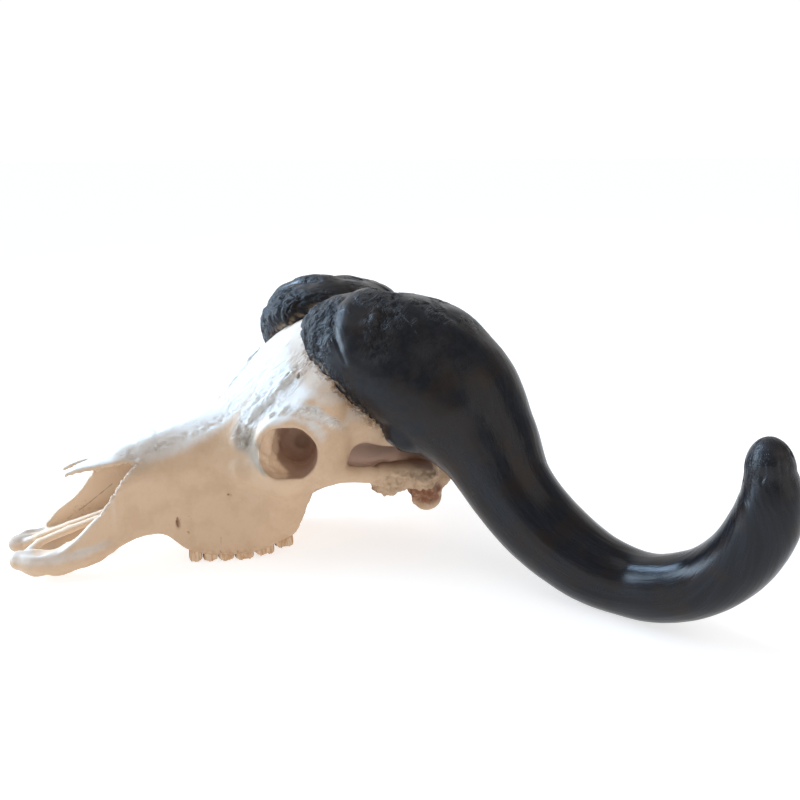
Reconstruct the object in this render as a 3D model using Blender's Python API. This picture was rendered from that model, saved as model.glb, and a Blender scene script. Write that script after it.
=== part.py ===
"""Buffalo skull without its lower jaw: one skull bone, two horns and twelve upper cheek teeth.

The nose points to -Y, the animal's left is +X and the ground is Z = 0. Shapes are
given in millimetres from the tip of the nose, and placed in metres around the origin.
"""
import math

import bmesh
import bpy
from mathutils import Vector

# Driving dimensions, in millimetres
MM = 0.001
NOSE_TO_ORIGIN = 346.0
SEAT_GAP = 0.3
BONE_VOXEL = 3.0
BONE_FACES = 5100
# Ahead of this place the bone is thin, and keeps more of its faces
THIN_EDGES_END = 150.0
THIN_EDGES_FADE = 20.0
THIN_EDGES_WEIGHT = 0.8
EDGE_CARE = 0.0004
BONE_LOW = (-126.0, -4.0, -2.0)
BONE_HIGH = (126.0, 546.0, 300.0)

# Side view of the bone: height above the ground, at distances from the nose
ROOF_HEIGHT = {
    60: 106, 75: 117, 110: 128, 140: 141, 180: 152, 227: 167, 257: 179, 285: 202,
    310: 228, 335: 250, 365: 268, 400: 283, 440: 287, 480: 275, 515: 245, 545: 200,
}
UNDERSIDE = {
    40: 6, 56: 5, 78: 10, 98: 14, 109: 21, 132: 32, 155: 36, 171: 34, 184: 24, 196: 16,
    212: 11, 235: 8, 265: 9, 296: 17, 315: 25,
}
LEFT_NOSE_EDGE = {45: 22, 53: 29, 74: 44, 91: 60, 106: 73, 112: 82, 124: 98, 131: 108, 146: 121}
RIGHT_NOSE_EDGE = {33: 28, 51: 41, 62: 52, 78: 63, 88: 72, 102: 89, 110: 97, 128: 112, 146: 124}

# Plan view of the bone: half widths, at distances from the nose
ALVEOLAR_HALF = {
    40: 45, 60: 47, 100: 46, 150: 43, 178: 46, 192: 56, 212: 63, 240: 70, 280: 76,
    312: 75, 335: 62,
}
UPPER_HALF = {
    60: 44, 110: 47, 150: 44, 185: 45, 230: 51, 258: 62, 280: 84, 300: 97, 330: 104,
    365: 103, 400: 106, 440: 110, 480: 108, 515: 95, 540: 70,
}
NASAL_OUTER_HALF = {72: 15, 85: 21, 100: 28, 120: 34, 140: 38, 160: 39}
NASAL_THICKNESS = {72: 4.5, 90: 6, 120: 7}
NASAL_INNER_HALF = {72: 10, 84: 5, 96: 1.5, 104: -3}
# How far the roof falls from the midline to this far beside it
ROOF_FALL_REACH = 100.0
ROOF_FALL = {
    75: 205, 180: 212, 218: 190, 240: 150, 260: 105, 285: 62, 305: 48, 340: 45, 400: 55,
    460: 60, 540: 70,
}

# The eye's opening: its centre and the way it looks
EYE_CENTRE = (107.0, 306.0, 140.5)
EYE_FACING = (0.950, -0.295, 0.100)

# Teeth of one side: name, front, back, half width, distance from midline, grinding height
TEETH = (
    ("premolar_2", 196.5, 211.0, 7.0, 49.5, 0.0),
    ("premolar_3", 211.8, 228.0, 8.5, 52.5, 0.0),
    ("premolar_4", 228.8, 246.6, 10.0, 56.0, 0.0),
    ("molar_1", 247.4, 269.6, 11.5, 59.0, 0.0),
    ("molar_2", 270.4, 293.6, 12.0, 61.5, 3.5),
    ("molar_3", 294.4, 317.0, 11.5, 61.5, 9.0),
)
TOOTH_SIDES = 10
TOOTH_SQUARENESS = 0.6
ROOT_TOP = 30.0

# One horn, from its end beside the midline to its tip: centre, half length of the
# section from front to back, half thickness, and how far its front edge dips
HORN_STATIONS = (
    (14, 406, 262, 60, 31, -6),
    (40, 412, 260, 79, 46, -4),
    (70, 424, 251, 86, 58, 0),
    (97, 446, 235, 86, 63, 10),
    (121, 474, 209, 82, 66, 27),
    (145, 502, 178, 73, 66, 42),
    (172, 520, 145, 58, 54.5, 53),
    (204, 535, 102, 48, 46, 60),
    (243, 556, 66, 44, 42, 60),
    (291, 580, 43, 39.5, 39.5, 60),
    (332, 605, 35, 35.5, 35.5, 60),
    (370, 621, 43, 33.5, 34, 60),
    (407, 641, 65, 32, 32.5, 60),
    (433, 654, 97, 31.5, 32, 60),
    (449, 661, 133, 30.5, 31, 60),
    (454, 663, 162, 28, 28.5, 60),
    (451, 661, 189, 22, 23, 60),
)
HORN_TIP_ROUND = 28.0
HORN_MEDIAL_ROUND = 9.0
HORN_SIDES = 22
HORN_RINGS = 23
AXIS_STEP = 0.02
# The right side of this skull grew a little ahead of the left
RIGHT_LEAD = 0.10
RIGHT_LEAD_REACH = 110.0
RIGHT_HORN_LEAD = 0.20


class Field:
    """A number or vector that varies over space: one socket of the node tree in hand."""

    tree = None

    def __init__(self, socket):
        self.socket = socket

    @classmethod
    def node(cls, kind, inputs, **settings):
        """Adds a node, sets it, and joins or fills its inputs."""
        node = cls.tree.nodes.new(kind)
        for name, value in settings.items():
            setattr(node, name, value)
        for key, value in inputs.items():
            if isinstance(value, Field):
                cls.tree.links.new(value.socket, node.inputs[key])
            else:
                node.inputs[key].default_value = value
        return node

    @classmethod
    def math(cls, operation, *values):
        return cls(cls.node("ShaderNodeMath", dict(enumerate(values)), operation=operation).outputs[0])

    @classmethod
    def vector(cls, operation, *values):
        node = cls.node("ShaderNodeVectorMath", dict(enumerate(values)), operation=operation)
        scalar = operation in ("LENGTH", "DOT_PRODUCT")
        return cls(node.outputs["Value" if scalar else "Vector"])

    def __add__(self, other):
        return Field.math("ADD", self, other)

    def __radd__(self, other):
        return Field.math("ADD", other, self)

    def __sub__(self, other):
        return Field.math("SUBTRACT", self, other)

    def __rsub__(self, other):
        return Field.math("SUBTRACT", other, self)

    def __mul__(self, other):
        return Field.math("MULTIPLY", self, other)

    def __truediv__(self, other):
        return Field.math("DIVIDE", self, other)


def smaller(a, b):
    return Field.math("MINIMUM", a, b)


def larger(a, b):
    return Field.math("MAXIMUM", a, b)


def fuse(fillet, *shapes):
    """Joins shapes, with a fillet where they meet."""
    whole = shapes[0]
    for shape in shapes[1:]:
        whole = Field.math("SMOOTH_MIN", whole, shape, fillet)
    return whole


def meet(rounding, *shapes):
    """Keeps what lies in every shape, with rounded edges."""
    whole = shapes[0]
    for shape in shapes[1:]:
        whole = Field.math("SMOOTH_MAX", whole, shape, rounding)
    return whole


def carve(shape, hollow, rounding=2.0):
    """Takes the hollow out of the shape."""
    return Field.math("SMOOTH_MAX", shape, 0.0 - hollow, rounding)


def ramp(value, low, high):
    """Zero below low, one above high, and even between them."""
    node = Field.node("ShaderNodeMapRange", {"Value": value, "From Min": low, "From Max": high})
    return Field(node.outputs["Result"])


def blend(a, b, share):
    return (b - a) * share + a


PROFILE_SPAN = 600.0
PROFILE_RISE = 400.0


def profile(along, points):
    """A smooth curve through the points, read at the distance along the skull."""
    node = Field.node("ShaderNodeFloatCurve", {"Value": along / PROFILE_SPAN})
    node.mapping.use_clip = False
    curve = node.mapping.curves[0]
    stations = sorted(points.items())
    while len(curve.points) < len(stations):
        curve.points.new(0.5, 0.5)
    for point, (place, value) in zip(curve.points, stations):
        point.location = (place / PROFILE_SPAN, value / PROFILE_RISE)
        point.handle_type = "AUTO_CLAMPED"
    node.mapping.update()
    return Field(node.outputs["Value"]) * PROFILE_RISE


def shape_group(name, inputs, make):
    """A node group that gives the distance to one kind of shape."""
    group = bpy.data.node_groups.new(name, "GeometryNodeTree")
    for label, kind in inputs:
        group.interface.new_socket(label, in_out="INPUT", socket_type=kind)
    group.interface.new_socket("Distance", in_out="OUTPUT", socket_type="NodeSocketFloat")
    outer = Field.tree
    Field.tree = group
    start = group.nodes.new("NodeGroupInput")
    distance = make(*[Field(socket) for socket in start.outputs[:len(inputs)]])
    end = group.nodes.new("NodeGroupOutput")
    group.links.new(distance.socket, end.inputs[0])
    Field.tree = outer
    return group


VECTOR = "NodeSocketVector"
NUMBER = "NodeSocketFloat"


def ball_distance(point, centre, radii, turn):
    """An ellipsoid, turned about its centre."""
    away = Field.vector("SUBTRACT", point, centre)
    turned = Field.node("ShaderNodeVectorRotate", {"Vector": away, "Rotation": turn},
                        rotation_type="EULER_XYZ", invert=True)
    scaled = Field.vector("DIVIDE", Field(turned.outputs[0]), radii)
    steep = Field.vector("LENGTH", Field.vector("DIVIDE", scaled, radii))
    reach = Field.vector("LENGTH", scaled)
    return reach * (reach - 1.0) / larger(steep, 0.00001)


def bar_distance(point, start, end, start_radius, end_radius, across, thin):
    """A tapered round bar; thin squeezes it along the direction across."""
    squeeze = Field.math("DIVIDE", 1.0, thin) - 1.0

    def stretch(offset):
        lift = Field.vector("DOT_PRODUCT", offset, across) * squeeze
        return Field.vector("ADD", offset, Field.vector("MULTIPLY", across, lift))

    away = stretch(Field.vector("SUBTRACT", point, start))
    axis = stretch(Field.vector("SUBTRACT", end, start))
    share = Field.vector("DOT_PRODUCT", away, axis) / Field.vector("DOT_PRODUCT", axis, axis)
    share = smaller(larger(share, 0.0), 1.0)
    gap = Field.vector("LENGTH", Field.vector("SUBTRACT", away, Field.vector("MULTIPLY", axis, share)))
    return gap - blend(start_radius, end_radius, share)


class Shapes:
    """The kinds of shape that the bone is built from, at the point in hand."""

    def __init__(self, point):
        self.point = point
        ball_inputs = (("Point", VECTOR), ("Centre", VECTOR), ("Radii", VECTOR), ("Turn", VECTOR))
        bar_inputs = (("Point", VECTOR), ("Start", VECTOR), ("End", VECTOR), ("Start radius", NUMBER),
                      ("End radius", NUMBER), ("Across", VECTOR), ("Thin", NUMBER))
        self.ball_group = shape_group("ball", ball_inputs, ball_distance)
        self.bar_group = shape_group("bar", bar_inputs, bar_distance)

    def ball(self, centre, radii, turn=(0, 0, 0)):
        inputs = {0: self.point, 1: centre, 2: radii, 3: [math.radians(angle) for angle in turn]}
        return Field(Field.node("GeometryNodeGroup", inputs, node_tree=self.ball_group).outputs[0])

    def bar(self, start, end, start_radius, end_radius, across=(1, 0, 0), thin=1.0):
        inputs = {0: self.point, 1: start, 2: end, 3: start_radius, 4: end_radius,
                  5: Vector(across).normalized(), 6: thin}
        return Field(Field.node("GeometryNodeGroup", inputs, node_tree=self.bar_group).outputs[0])

    def rod(self, fillet, *stops, across=(1, 0, 0), thin=1.0):
        """Bars end to end through the stops, each a place and a radius."""
        bars = [self.bar(a, b, ra, rb, across, thin) for (a, ra), (b, rb) in zip(stops, stops[1:])]
        return fuse(fillet, *bars)


class Skull:
    """The bone, as the distance from its surface; its left and right sides are alike."""

    def __init__(self, position):
        place = Field.vector("MULTIPLY", position, (1 / MM, 1 / MM, 1 / MM))
        place = Field.vector("ADD", place, (0, NOSE_TO_ORIGIN, 0))
        parts = Field.node("ShaderNodeSeparateXYZ", {"Vector": place}).outputs
        self.side = Field(parts["X"])
        self.height = Field(parts["Z"])
        self.out = Field.math("ABSOLUTE", self.side)
        lead = smaller(larger(0.0 - self.side, 0.0), RIGHT_LEAD_REACH) * RIGHT_LEAD
        self.along = Field(parts["Y"]) + lead
        folded = Field.node("ShaderNodeCombineXYZ", {"X": self.out, "Y": self.along, "Z": self.height})
        self.shapes = Shapes(Field(folded.outputs[0]))
        self.roof = self.height - self.roof_height()
        self.flank = self.out - self.half_width()

    def roof_height(self):
        """The roof, which falls away from the midline to both sides."""
        outward = self.out / ROOF_FALL_REACH
        return profile(self.along, ROOF_HEIGHT) - profile(self.along, ROOF_FALL) * outward * outward

    def half_width(self):
        """The wall: the width at the teeth blends into the width under the roof."""
        share = ramp(self.height, 15.0, 125.0)
        return blend(profile(self.along, ALVEOLAR_HALF), profile(self.along, UPPER_HALF), share)

    def build(self):
        """All the bone, less its hollows."""
        bone = fuse(9.0, self.face(), self.cranium())
        bone = fuse(14.0, bone, self.orbit_rim())
        bone = carve(bone, self.temporal_hollow(), 4.0)
        bone = fuse(5.0, bone, self.cheek_arch(), self.skull_base())
        bone = carve(bone, self.orbit_hollow(), 2.5)
        bone = carve(bone, self.brain_opening(), 3.0)
        bone = carve(bone, self.nasal_hollow(), 1.5)
        bone = carve(bone, self.nose_opening(), 1.5)
        bone = fuse(4.0, bone, self.nasal_bones())
        return fuse(5.0, bone, self.premaxillae())

    def face(self):
        """The long box of the muzzle, from the nose opening to the back of the tooth rows."""
        behind = self.along - 311.0 - self.height * 0.36
        ahead = 46.0 - self.along
        underside = profile(self.along, UNDERSIDE) - self.height
        box = meet(9.0, self.roof * 0.8, self.flank, behind)
        box = meet(5.0, box, underside, ahead)
        palate = self.shapes.rod(
            12.0, ((0, 90, -8), 40), ((0, 190, -12), 44), ((0, 260, -6), 46), ((0, 350, 0), 48))
        return carve(box, palate, 5.0)

    def cranium(self):
        """The forehead, the seats of the horns and the case of the brain."""
        shoulder = meet(70.0, self.roof * 0.95, self.flank)
        broad = meet(26.0, shoulder, 128.0 - self.height, 255.0 - self.along, self.along - 532.0)
        case = self.shapes.ball((0, 432, 148), (68, 100, 66))
        nape = self.shapes.ball((0, 488, 130), (92, 40, 84))
        front = self.shapes.ball((0, 350, 130), (50, 70, 60))
        return fuse(14.0, broad, case, nape, front)

    def orbit_rim(self):
        """The tube round the eye, which stands out from the face."""
        tube = self.shapes.bar((52, 321, 134), (98, 307, 140.5), 50, 41.5)
        lip = meet(4.0, tube, self.eye_plane())
        bar = self.shapes.rod(10.0, ((98, 348, 118), 17), ((99, 352, 150), 17), ((96, 356, 185), 20))
        cheek = self.shapes.rod(
            10.0, ((62, 256, 106), 10), ((93, 298, 101), 12.5), ((102, 350, 108), 14))
        return fuse(10.0, lip, bar, cheek)

    def eye_plane(self):
        """The plane of the eye's opening, which looks out, a little ahead and up."""
        facing = Vector(EYE_FACING)
        reach = Field.vector("DOT_PRODUCT", self.shapes.point, facing)
        return reach - facing.dot(Vector(EYE_CENTRE))

    def orbit_hollow(self):
        return self.shapes.rod(
            4.0, ((150, 293, 142), 36), ((107, 305.5, 138.5), 32), ((80, 314, 137), 31),
            ((52, 326, 134), 16))

    def temporal_hollow(self):
        """The deep pit behind the eye, open below, and its gap above the cheek arch."""
        pit = self.shapes.rod(8.0, ((82, 390, 60), 17), ((82, 392, 118), 18))
        back = self.shapes.rod(8.0, ((84, 392, 112), 19), ((86, 455, 108), 15))
        below = self.shapes.rod(8.0, ((82, 385, 40), 22), ((84, 420, 40), 20))
        gap = self.shapes.rod(6.0, ((118, 388, 124), 14), ((120, 430, 118), 12), ((120, 478, 106), 11))
        inner = self.shapes.rod(6.0, ((92, 388, 124), 14), ((92, 430, 118), 12), ((96, 478, 106), 11))
        return fuse(8.0, pit, back, below, gap, inner)

    def cheek_arch(self):
        """The arch from the cheek under the eye to the jaw joint."""
        arch = self.shapes.rod(
            6.0, ((101, 338, 104), 11), ((106, 372, 105), 9.5), ((106, 400, 101), 10),
            ((102, 424, 92), 13), ((88, 446, 90), 15), thin=0.65)
        joint = self.shapes.ball((86, 434, 82), (26, 17, 13))
        root = self.shapes.rod(8.0, ((100, 420, 98), 13), ((97, 446, 92), 16), ((86, 476, 84), 18))
        return fuse(6.0, arch, joint, root)

    def skull_base(self):
        """The underside of the braincase, the condyles and the processes beside them."""
        base = self.shapes.rod(10.0, ((0, 330, 84), 22), ((0, 400, 86), 24), ((0, 492, 62), 24))
        condyle = self.shapes.ball((27, 503, 52), (20, 21, 25))
        process = self.shapes.rod(6.0, ((68, 482, 86), 22), ((60, 492, 47), 18))
        behind = self.shapes.ball((58, 505, 78), (26, 20, 24))
        wing = self.shapes.rod(6.0, ((24, 322, 60), 7), ((22, 352, 50), 7), ((24, 398, 74), 8), thin=0.7)
        return fuse(8.0, base, condyle, process, behind, wing)

    def brain_opening(self):
        """The hole at the back of the skull, between the condyles."""
        return self.shapes.bar((0, 470, 84), (0, 560, 80), 15, 21)

    def nasal_hollow(self):
        """The airway behind the nose opening."""
        floor = profile(self.along, {40: 30, 110: 46, 190: 52, 300: 60}) - self.height
        wall = 6.0 + ramp(self.height, 90.0, 20.0) * 5.0
        return meet(8.0, self.roof * 0.8 + 7.0, self.flank + wall, self.out - 40.0, floor,
                    self.along - 275.0, 30.0 - self.along)

    def nose_opening(self):
        """What is missing above the sloping edges of the nose opening, and between the bones below."""
        left = ramp(self.side, -1.0, 1.0)
        edge = blend(profile(self.along, RIGHT_NOSE_EDGE), profile(self.along, LEFT_NOSE_EDGE), left)
        above = meet(2.0, (edge - self.height) * 0.7, self.along - 150.0)
        slot = self.shapes.rod(4.0, ((0, 20, 20), 12), ((0, 60, 20), 30), ((0, 108, 30), 27))
        return smaller(above, slot)

    def nasal_bones(self):
        """Two vaulted plates that run forward to a pointed tip each."""
        thickness = profile(self.along, NASAL_THICKNESS)
        plate = meet(2.0, self.roof * 0.8, 0.0 - thickness - self.roof * 0.8)
        outer = self.out - profile(self.along, NASAL_OUTER_HALF)
        inner = profile(self.along, NASAL_INNER_HALF) - self.out
        return meet(3.0, plate, outer, inner, 73.0 - self.along, self.along - 170.0)

    def premaxillae(self):
        """The two bones at the front of the upper jaw, with their prongs towards the palate."""
        lobe = self.shapes.rod(
            8.0, ((24, 13, 21), 11), ((32, 30, 19), 14.5), ((37, 52, 18), 13.5), ((40, 80, 22), 11),
            ((41, 108, 31), 9))
        prong = self.shapes.rod(
            4.0, ((17, 22, 25), 6), ((8, 36, 33), 4.5), ((6, 70, 43), 4.5), ((6, 120, 56), 5),
            across=(0, 0, 1), thin=0.7)
        return fuse(4.0, lobe, prong)


def mesh_from_field(name, low, high, voxel):
    """A mesh of the surface where the distance from the bone is zero."""
    tree = bpy.data.node_groups.new(name + "_form", "GeometryNodeTree")
    tree.interface.new_socket("Geometry", in_out="OUTPUT", socket_type="NodeSocketGeometry")
    Field.tree = tree
    position = Field(Field.node("GeometryNodeInputPosition", {}).outputs[0])
    inside = 0.0 - Skull(position).build()
    low = [(value - (NOSE_TO_ORIGIN if axis == 1 else 0)) * MM for axis, value in enumerate(low)]
    high = [(value - (NOSE_TO_ORIGIN if axis == 1 else 0)) * MM for axis, value in enumerate(high)]
    counts = [round((b - a) / (voxel * MM)) + 1 for a, b in zip(low, high)]
    cube = Field.node("GeometryNodeVolumeCube", {
        "Density": inside, "Background": -1.0, "Min": low, "Max": high,
        "Resolution X": counts[0], "Resolution Y": counts[1], "Resolution Z": counts[2]})
    volume = Field(cube.outputs[0])
    surface = Field.node("GeometryNodeVolumeToMesh", {"Volume": volume, "Threshold": 0.0})
    end = tree.nodes.new("NodeGroupOutput")
    tree.links.new(surface.outputs[0], end.inputs[0])
    draft = new_object(name + "_draft", bpy.data.meshes.new(name), bpy.context.scene.collection)
    draft.modifiers.new("Form", "NODES").node_group = tree
    mesh = evaluated_mesh(draft)
    bpy.data.objects.remove(draft)
    bpy.data.node_groups.remove(tree)
    return mesh


def evaluated_mesh(source):
    """The mesh of an object with its modifiers."""
    depsgraph = bpy.context.evaluated_depsgraph_get()
    return bpy.data.meshes.new_from_object(source.evaluated_get(depsgraph))


def new_object(name, mesh, collection):
    made = bpy.data.objects.new(name, mesh)
    collection.objects.link(made)
    return made


def keep_largest_body(mesh):
    """Deletes every loose scrap of a mesh but its largest body."""
    bm = bmesh.new()
    bm.from_mesh(mesh)
    left = set(bm.verts)
    bodies = []
    while left:
        body = [left.pop()]
        for vert in body:
            for edge in vert.link_edges:
                other = edge.other_vert(vert)
                if other in left:
                    left.remove(other)
                    body.append(other)
        bodies.append(body)
    bodies.sort(key=len)
    for body in bodies[:-1]:
        bmesh.ops.delete(bm, geom=body, context="VERTS")
    bm.to_mesh(mesh)
    bm.free()


def weigh_by_place(skull):
    """Marks the broad forms behind the nose, which need fewer faces than its thin edges."""
    group = skull.vertex_groups.new(name="broad_forms")
    for vert in skull.data.vertices:
        behind = (vert.co.y / MM + NOSE_TO_ORIGIN - THIN_EDGES_END) / THIN_EDGES_FADE
        behind = max(0.0, min(1.0, behind))
        weight = THIN_EDGES_WEIGHT + (1.0 - THIN_EDGES_WEIGHT) * behind
        group.add([vert.index], weight, "REPLACE")


def material(name, colour, roughness):
    made = bpy.data.materials.new(name)
    made.use_nodes = True
    shader = made.node_tree.nodes["Principled BSDF"]
    shader.inputs["Base Color"].default_value = (*colour, 1.0)
    shader.inputs["Roughness"].default_value = roughness
    shader.inputs["Metallic"].default_value = 0.0
    return made


def place(x, along, height):
    """A point in metres from one in millimetres from the nose."""
    return Vector((x, along - NOSE_TO_ORIGIN, height)) * MM


def spline(values, position):
    """A smooth curve through evenly spaced values."""
    last = len(values) - 1
    index = min(int(position), last - 1)
    share = position - index
    before = values[max(index - 1, 0)]
    start = values[index]
    end = values[index + 1]
    after = values[min(index + 2, last)]
    return 0.5 * (2 * start + (end - before) * share
                  + (2 * before - 5 * start + 4 * end - after) * share ** 2
                  + (3 * start - before - 3 * end + after) * share ** 3)


def horn_station(position):
    """Centre, half length, half thickness and dip of the section at a place along the horn."""
    return [spline([station[item] for station in HORN_STATIONS], position) for item in range(6)]


def horn_ring(position, scale=1.0, shift=0.0):
    """The points of one section; scale shrinks it and shift moves it along the horn."""
    x, along, height, half_length, half_thickness, dip = horn_station(position)
    ahead = Vector(horn_station(min(position + AXIS_STEP, len(HORN_STATIONS) - 1))[:3])
    behind = Vector(horn_station(max(position - AXIS_STEP, 0))[:3])
    axis = (ahead - behind).normalized()
    front = Vector((0, -math.cos(math.radians(dip)), -math.sin(math.radians(dip))))
    front = (front - axis * front.dot(axis)).normalized()
    up = axis.cross(front)
    centre = Vector((x, along, height)) + axis * shift
    points = []
    for index in range(HORN_SIDES):
        angle = math.tau * index / HORN_SIDES
        offset = front * math.cos(angle) * half_length + up * math.sin(angle) * half_thickness
        points.append(centre + offset * scale)
    return points


def horn_mesh():
    """The left horn, lofted from its end beside the midline to its blunt tip."""
    last = len(HORN_STATIONS) - 1
    rings = []
    for scale in (0.35, 0.75):
        rings.append(horn_ring(0, scale, -HORN_MEDIAL_ROUND * math.sqrt(1 - scale ** 2)))
    for index in range(HORN_RINGS):
        rings.append(horn_ring(last * index / (HORN_RINGS - 1)))
    for scale in (0.93, 0.72, 0.38):
        rings.append(horn_ring(last, scale, HORN_TIP_ROUND * math.sqrt(1 - scale ** 2)))
    return loft("horn", rings)


def loft(name, rings):
    """Closed rings of equal count joined into a solid with flat ends."""
    bm = bmesh.new()
    rows = [[bm.verts.new(place(*point)) for point in ring] for ring in rings]
    for row, after in zip(rows, rows[1:]):
        for index in range(len(row)):
            following = (index + 1) % len(row)
            bm.faces.new((row[index], row[following], after[following], after[index]))
    bm.faces.new(reversed(rows[0]))
    bm.faces.new(rows[-1])
    bmesh.ops.recalc_face_normals(bm, faces=bm.faces)
    mesh = bpy.data.meshes.new(name)
    bm.to_mesh(mesh)
    bm.free()
    return mesh


def squared(value):
    """Pushes a sine or cosine outwards, which turns an oval into a rounded square."""
    return math.copysign(abs(value) ** TOOTH_SQUARENESS, value)


def tooth_mesh(name, front, back, half_width, from_midline, grinding, grow=0.0):
    """An upper left cheek tooth: a crown worn flat below and a root in its socket."""
    centre = (front + back) / 2
    half_length = (back - front) / 2
    levels = (
        (grinding - grow, 0.90), (grinding + 5.0, 1.0), (grinding + 12.0, 0.97),
        (ROOT_TOP + grow, 0.72),
    )
    rings = []
    for height, size in levels:
        ring = []
        for index in range(TOOTH_SIDES):
            angle = math.tau * (index + 0.5) / TOOTH_SIDES
            across = squared(math.cos(angle)) * (half_width * size + grow)
            along = squared(math.sin(angle)) * (half_length * size + grow)
            ring.append((from_midline + across, centre + along, height))
        rings.append(ring)
    return loft(name, rings)


def mirrored(mesh, name, lead=RIGHT_LEAD):
    """The same shape on the other side of the midline, and a little ahead."""
    bm = bmesh.new()
    bm.from_mesh(mesh)
    for vert in bm.verts:
        vert.co.y -= min(vert.co.x, RIGHT_LEAD_REACH * MM) * lead
        vert.co.x *= -1
    bmesh.ops.reverse_faces(bm, faces=bm.faces)
    made = bpy.data.meshes.new(name)
    bm.to_mesh(made)
    bm.free()
    return made


def cut(target, cutter, solver="EXACT"):
    """Takes the cutter's shape out of the target."""
    boolean = target.modifiers.new("Cut " + cutter.name, "BOOLEAN")
    boolean.operation = "DIFFERENCE"
    boolean.solver = solver
    boolean.object = cutter


def hide_cutter(cutter):
    cutter.hide_render = True
    cutter.display_type = "WIRE"


def finish(made, surface):
    made.data.materials.clear()
    made.data.materials.append(surface)
    made.data.shade_smooth()
    made.data.set_sharp_from_angle(angle=math.radians(40))


def main():
    for item in list(bpy.data.objects):
        bpy.data.objects.remove(item)
    parts = bpy.data.collections.new("buffalo_skull")
    cutters = bpy.data.collections.new("cutters")
    for collection in (parts, cutters):
        bpy.context.scene.collection.children.link(collection)
    bone = material("bone", (0.66, 0.53, 0.39), 0.62)
    horn = material("horn", (0.035, 0.037, 0.045), 0.38)
    enamel = material("tooth", (0.60, 0.47, 0.32), 0.45)

    sockets = []
    for name, *sizes in TEETH:
        left = tooth_mesh(name, *sizes)
        socket = tooth_mesh(name + "_socket", *sizes, grow=SEAT_GAP)
        for side, crown, hole in (("left", left, socket),
                                  ("right", mirrored(left, name), mirrored(socket, name + "_socket"))):
            finish(new_object(side + "_" + name, crown, parts), enamel)
            sockets.append(new_object(side + "_" + name + "_socket", hole, cutters))
            hide_cutter(sockets[-1])

    form = mesh_from_field("skull", BONE_LOW, BONE_HIGH, BONE_VOXEL)
    keep_largest_body(form)
    skull = new_object("skull", form, parts)
    weigh_by_place(skull)
    thin = skull.modifiers.new("Fewer faces", "DECIMATE")
    thin.ratio = BONE_FACES / max(sum(len(face.vertices) - 2 for face in form.polygons), 1)
    thin.vertex_group = "broad_forms"
    thin.vertex_group_factor = EDGE_CARE
    for socket in sockets:
        cut(skull, socket)
    solid = evaluated_mesh(skull)
    skull.modifiers.clear()
    skull.data = solid
    keep_largest_body(solid)
    finish(skull, bone)

    seat = new_object("horn_seat", solid.copy(), cutters)
    hide_cutter(seat)
    gap = seat.modifiers.new("Gap", "DISPLACE")
    gap.mid_level = 0.0
    gap.strength = SEAT_GAP * MM
    left_horn = horn_mesh()
    right_horn = mirrored(left_horn, "right_horn", RIGHT_HORN_LEAD)
    for name, shape in (("left_horn", left_horn), ("right_horn", right_horn)):
        made = new_object(name, shape, parts)
        cut(made, seat, "MANIFOLD")
        solid = evaluated_mesh(made)
        made.modifiers.clear()
        made.data = solid
        keep_largest_body(solid)
        finish(made, horn)


main()
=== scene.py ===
"""A buffalo skull: the bone, two horn sheaths and twelve cheek teeth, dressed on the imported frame.

The nose points to -Y, the animal's left is +X and the floor is Z = 0. Shapes are given in
millimetres from the tip of the nose, and made in metres around the frame's origin.
"""
import logging
import math
from dataclasses import dataclass, field
from enum import Enum
from typing import Callable, Sequence, Union

import bmesh
import bpy
import numpy as np
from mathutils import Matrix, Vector


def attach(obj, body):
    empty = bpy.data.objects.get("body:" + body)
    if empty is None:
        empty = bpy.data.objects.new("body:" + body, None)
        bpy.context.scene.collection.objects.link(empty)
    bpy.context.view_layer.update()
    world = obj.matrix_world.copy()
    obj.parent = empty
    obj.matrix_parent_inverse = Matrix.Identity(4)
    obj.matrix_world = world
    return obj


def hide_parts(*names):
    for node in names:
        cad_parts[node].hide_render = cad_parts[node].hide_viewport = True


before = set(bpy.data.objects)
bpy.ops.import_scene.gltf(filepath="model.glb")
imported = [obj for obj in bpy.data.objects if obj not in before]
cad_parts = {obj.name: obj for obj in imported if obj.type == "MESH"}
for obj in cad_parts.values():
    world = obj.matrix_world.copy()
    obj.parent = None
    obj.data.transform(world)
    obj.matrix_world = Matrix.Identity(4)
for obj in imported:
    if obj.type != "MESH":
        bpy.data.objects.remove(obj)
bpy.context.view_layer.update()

LOG = logging.getLogger("buffalo_skull")
MM = 0.001
NOSE_TO_ORIGIN = 346.0
ROOT_BODY = "root"

Colour = tuple[float, float, float]
Point = tuple[float, float, float]
Stop = tuple[Point, float]


class Side(Enum):
    """The animal's own left and right."""

    LEFT = "left"
    RIGHT = "right"


# ---- Node trees ----


class Value:
    """A socket of a node tree, on which sums are written as plain expressions."""

    def __init__(self, graph: "Graph", socket: bpy.types.NodeSocket) -> None:
        """Wraps a socket of the graph."""
        self.graph = graph
        self.socket = socket

    def __add__(self, other: "Operand") -> "Value":
        """This plus other."""
        return self.graph.math("ADD", self, other)

    def __radd__(self, other: "Operand") -> "Value":
        """Other plus this."""
        return self.graph.math("ADD", other, self)

    def __sub__(self, other: "Operand") -> "Value":
        """This less other."""
        return self.graph.math("SUBTRACT", self, other)

    def __rsub__(self, other: "Operand") -> "Value":
        """Other less this."""
        return self.graph.math("SUBTRACT", other, self)

    def __mul__(self, other: "Operand") -> "Value":
        """This times other."""
        return self.graph.math("MULTIPLY", self, other)

    def __rmul__(self, other: "Operand") -> "Value":
        """Other times this."""
        return self.graph.math("MULTIPLY", other, self)

    def __truediv__(self, other: "Operand") -> "Value":
        """This divided by other."""
        return self.graph.math("DIVIDE", self, other)

    def __rtruediv__(self, other: "Operand") -> "Value":
        """Other divided by this."""
        return self.graph.math("DIVIDE", other, self)


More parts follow.
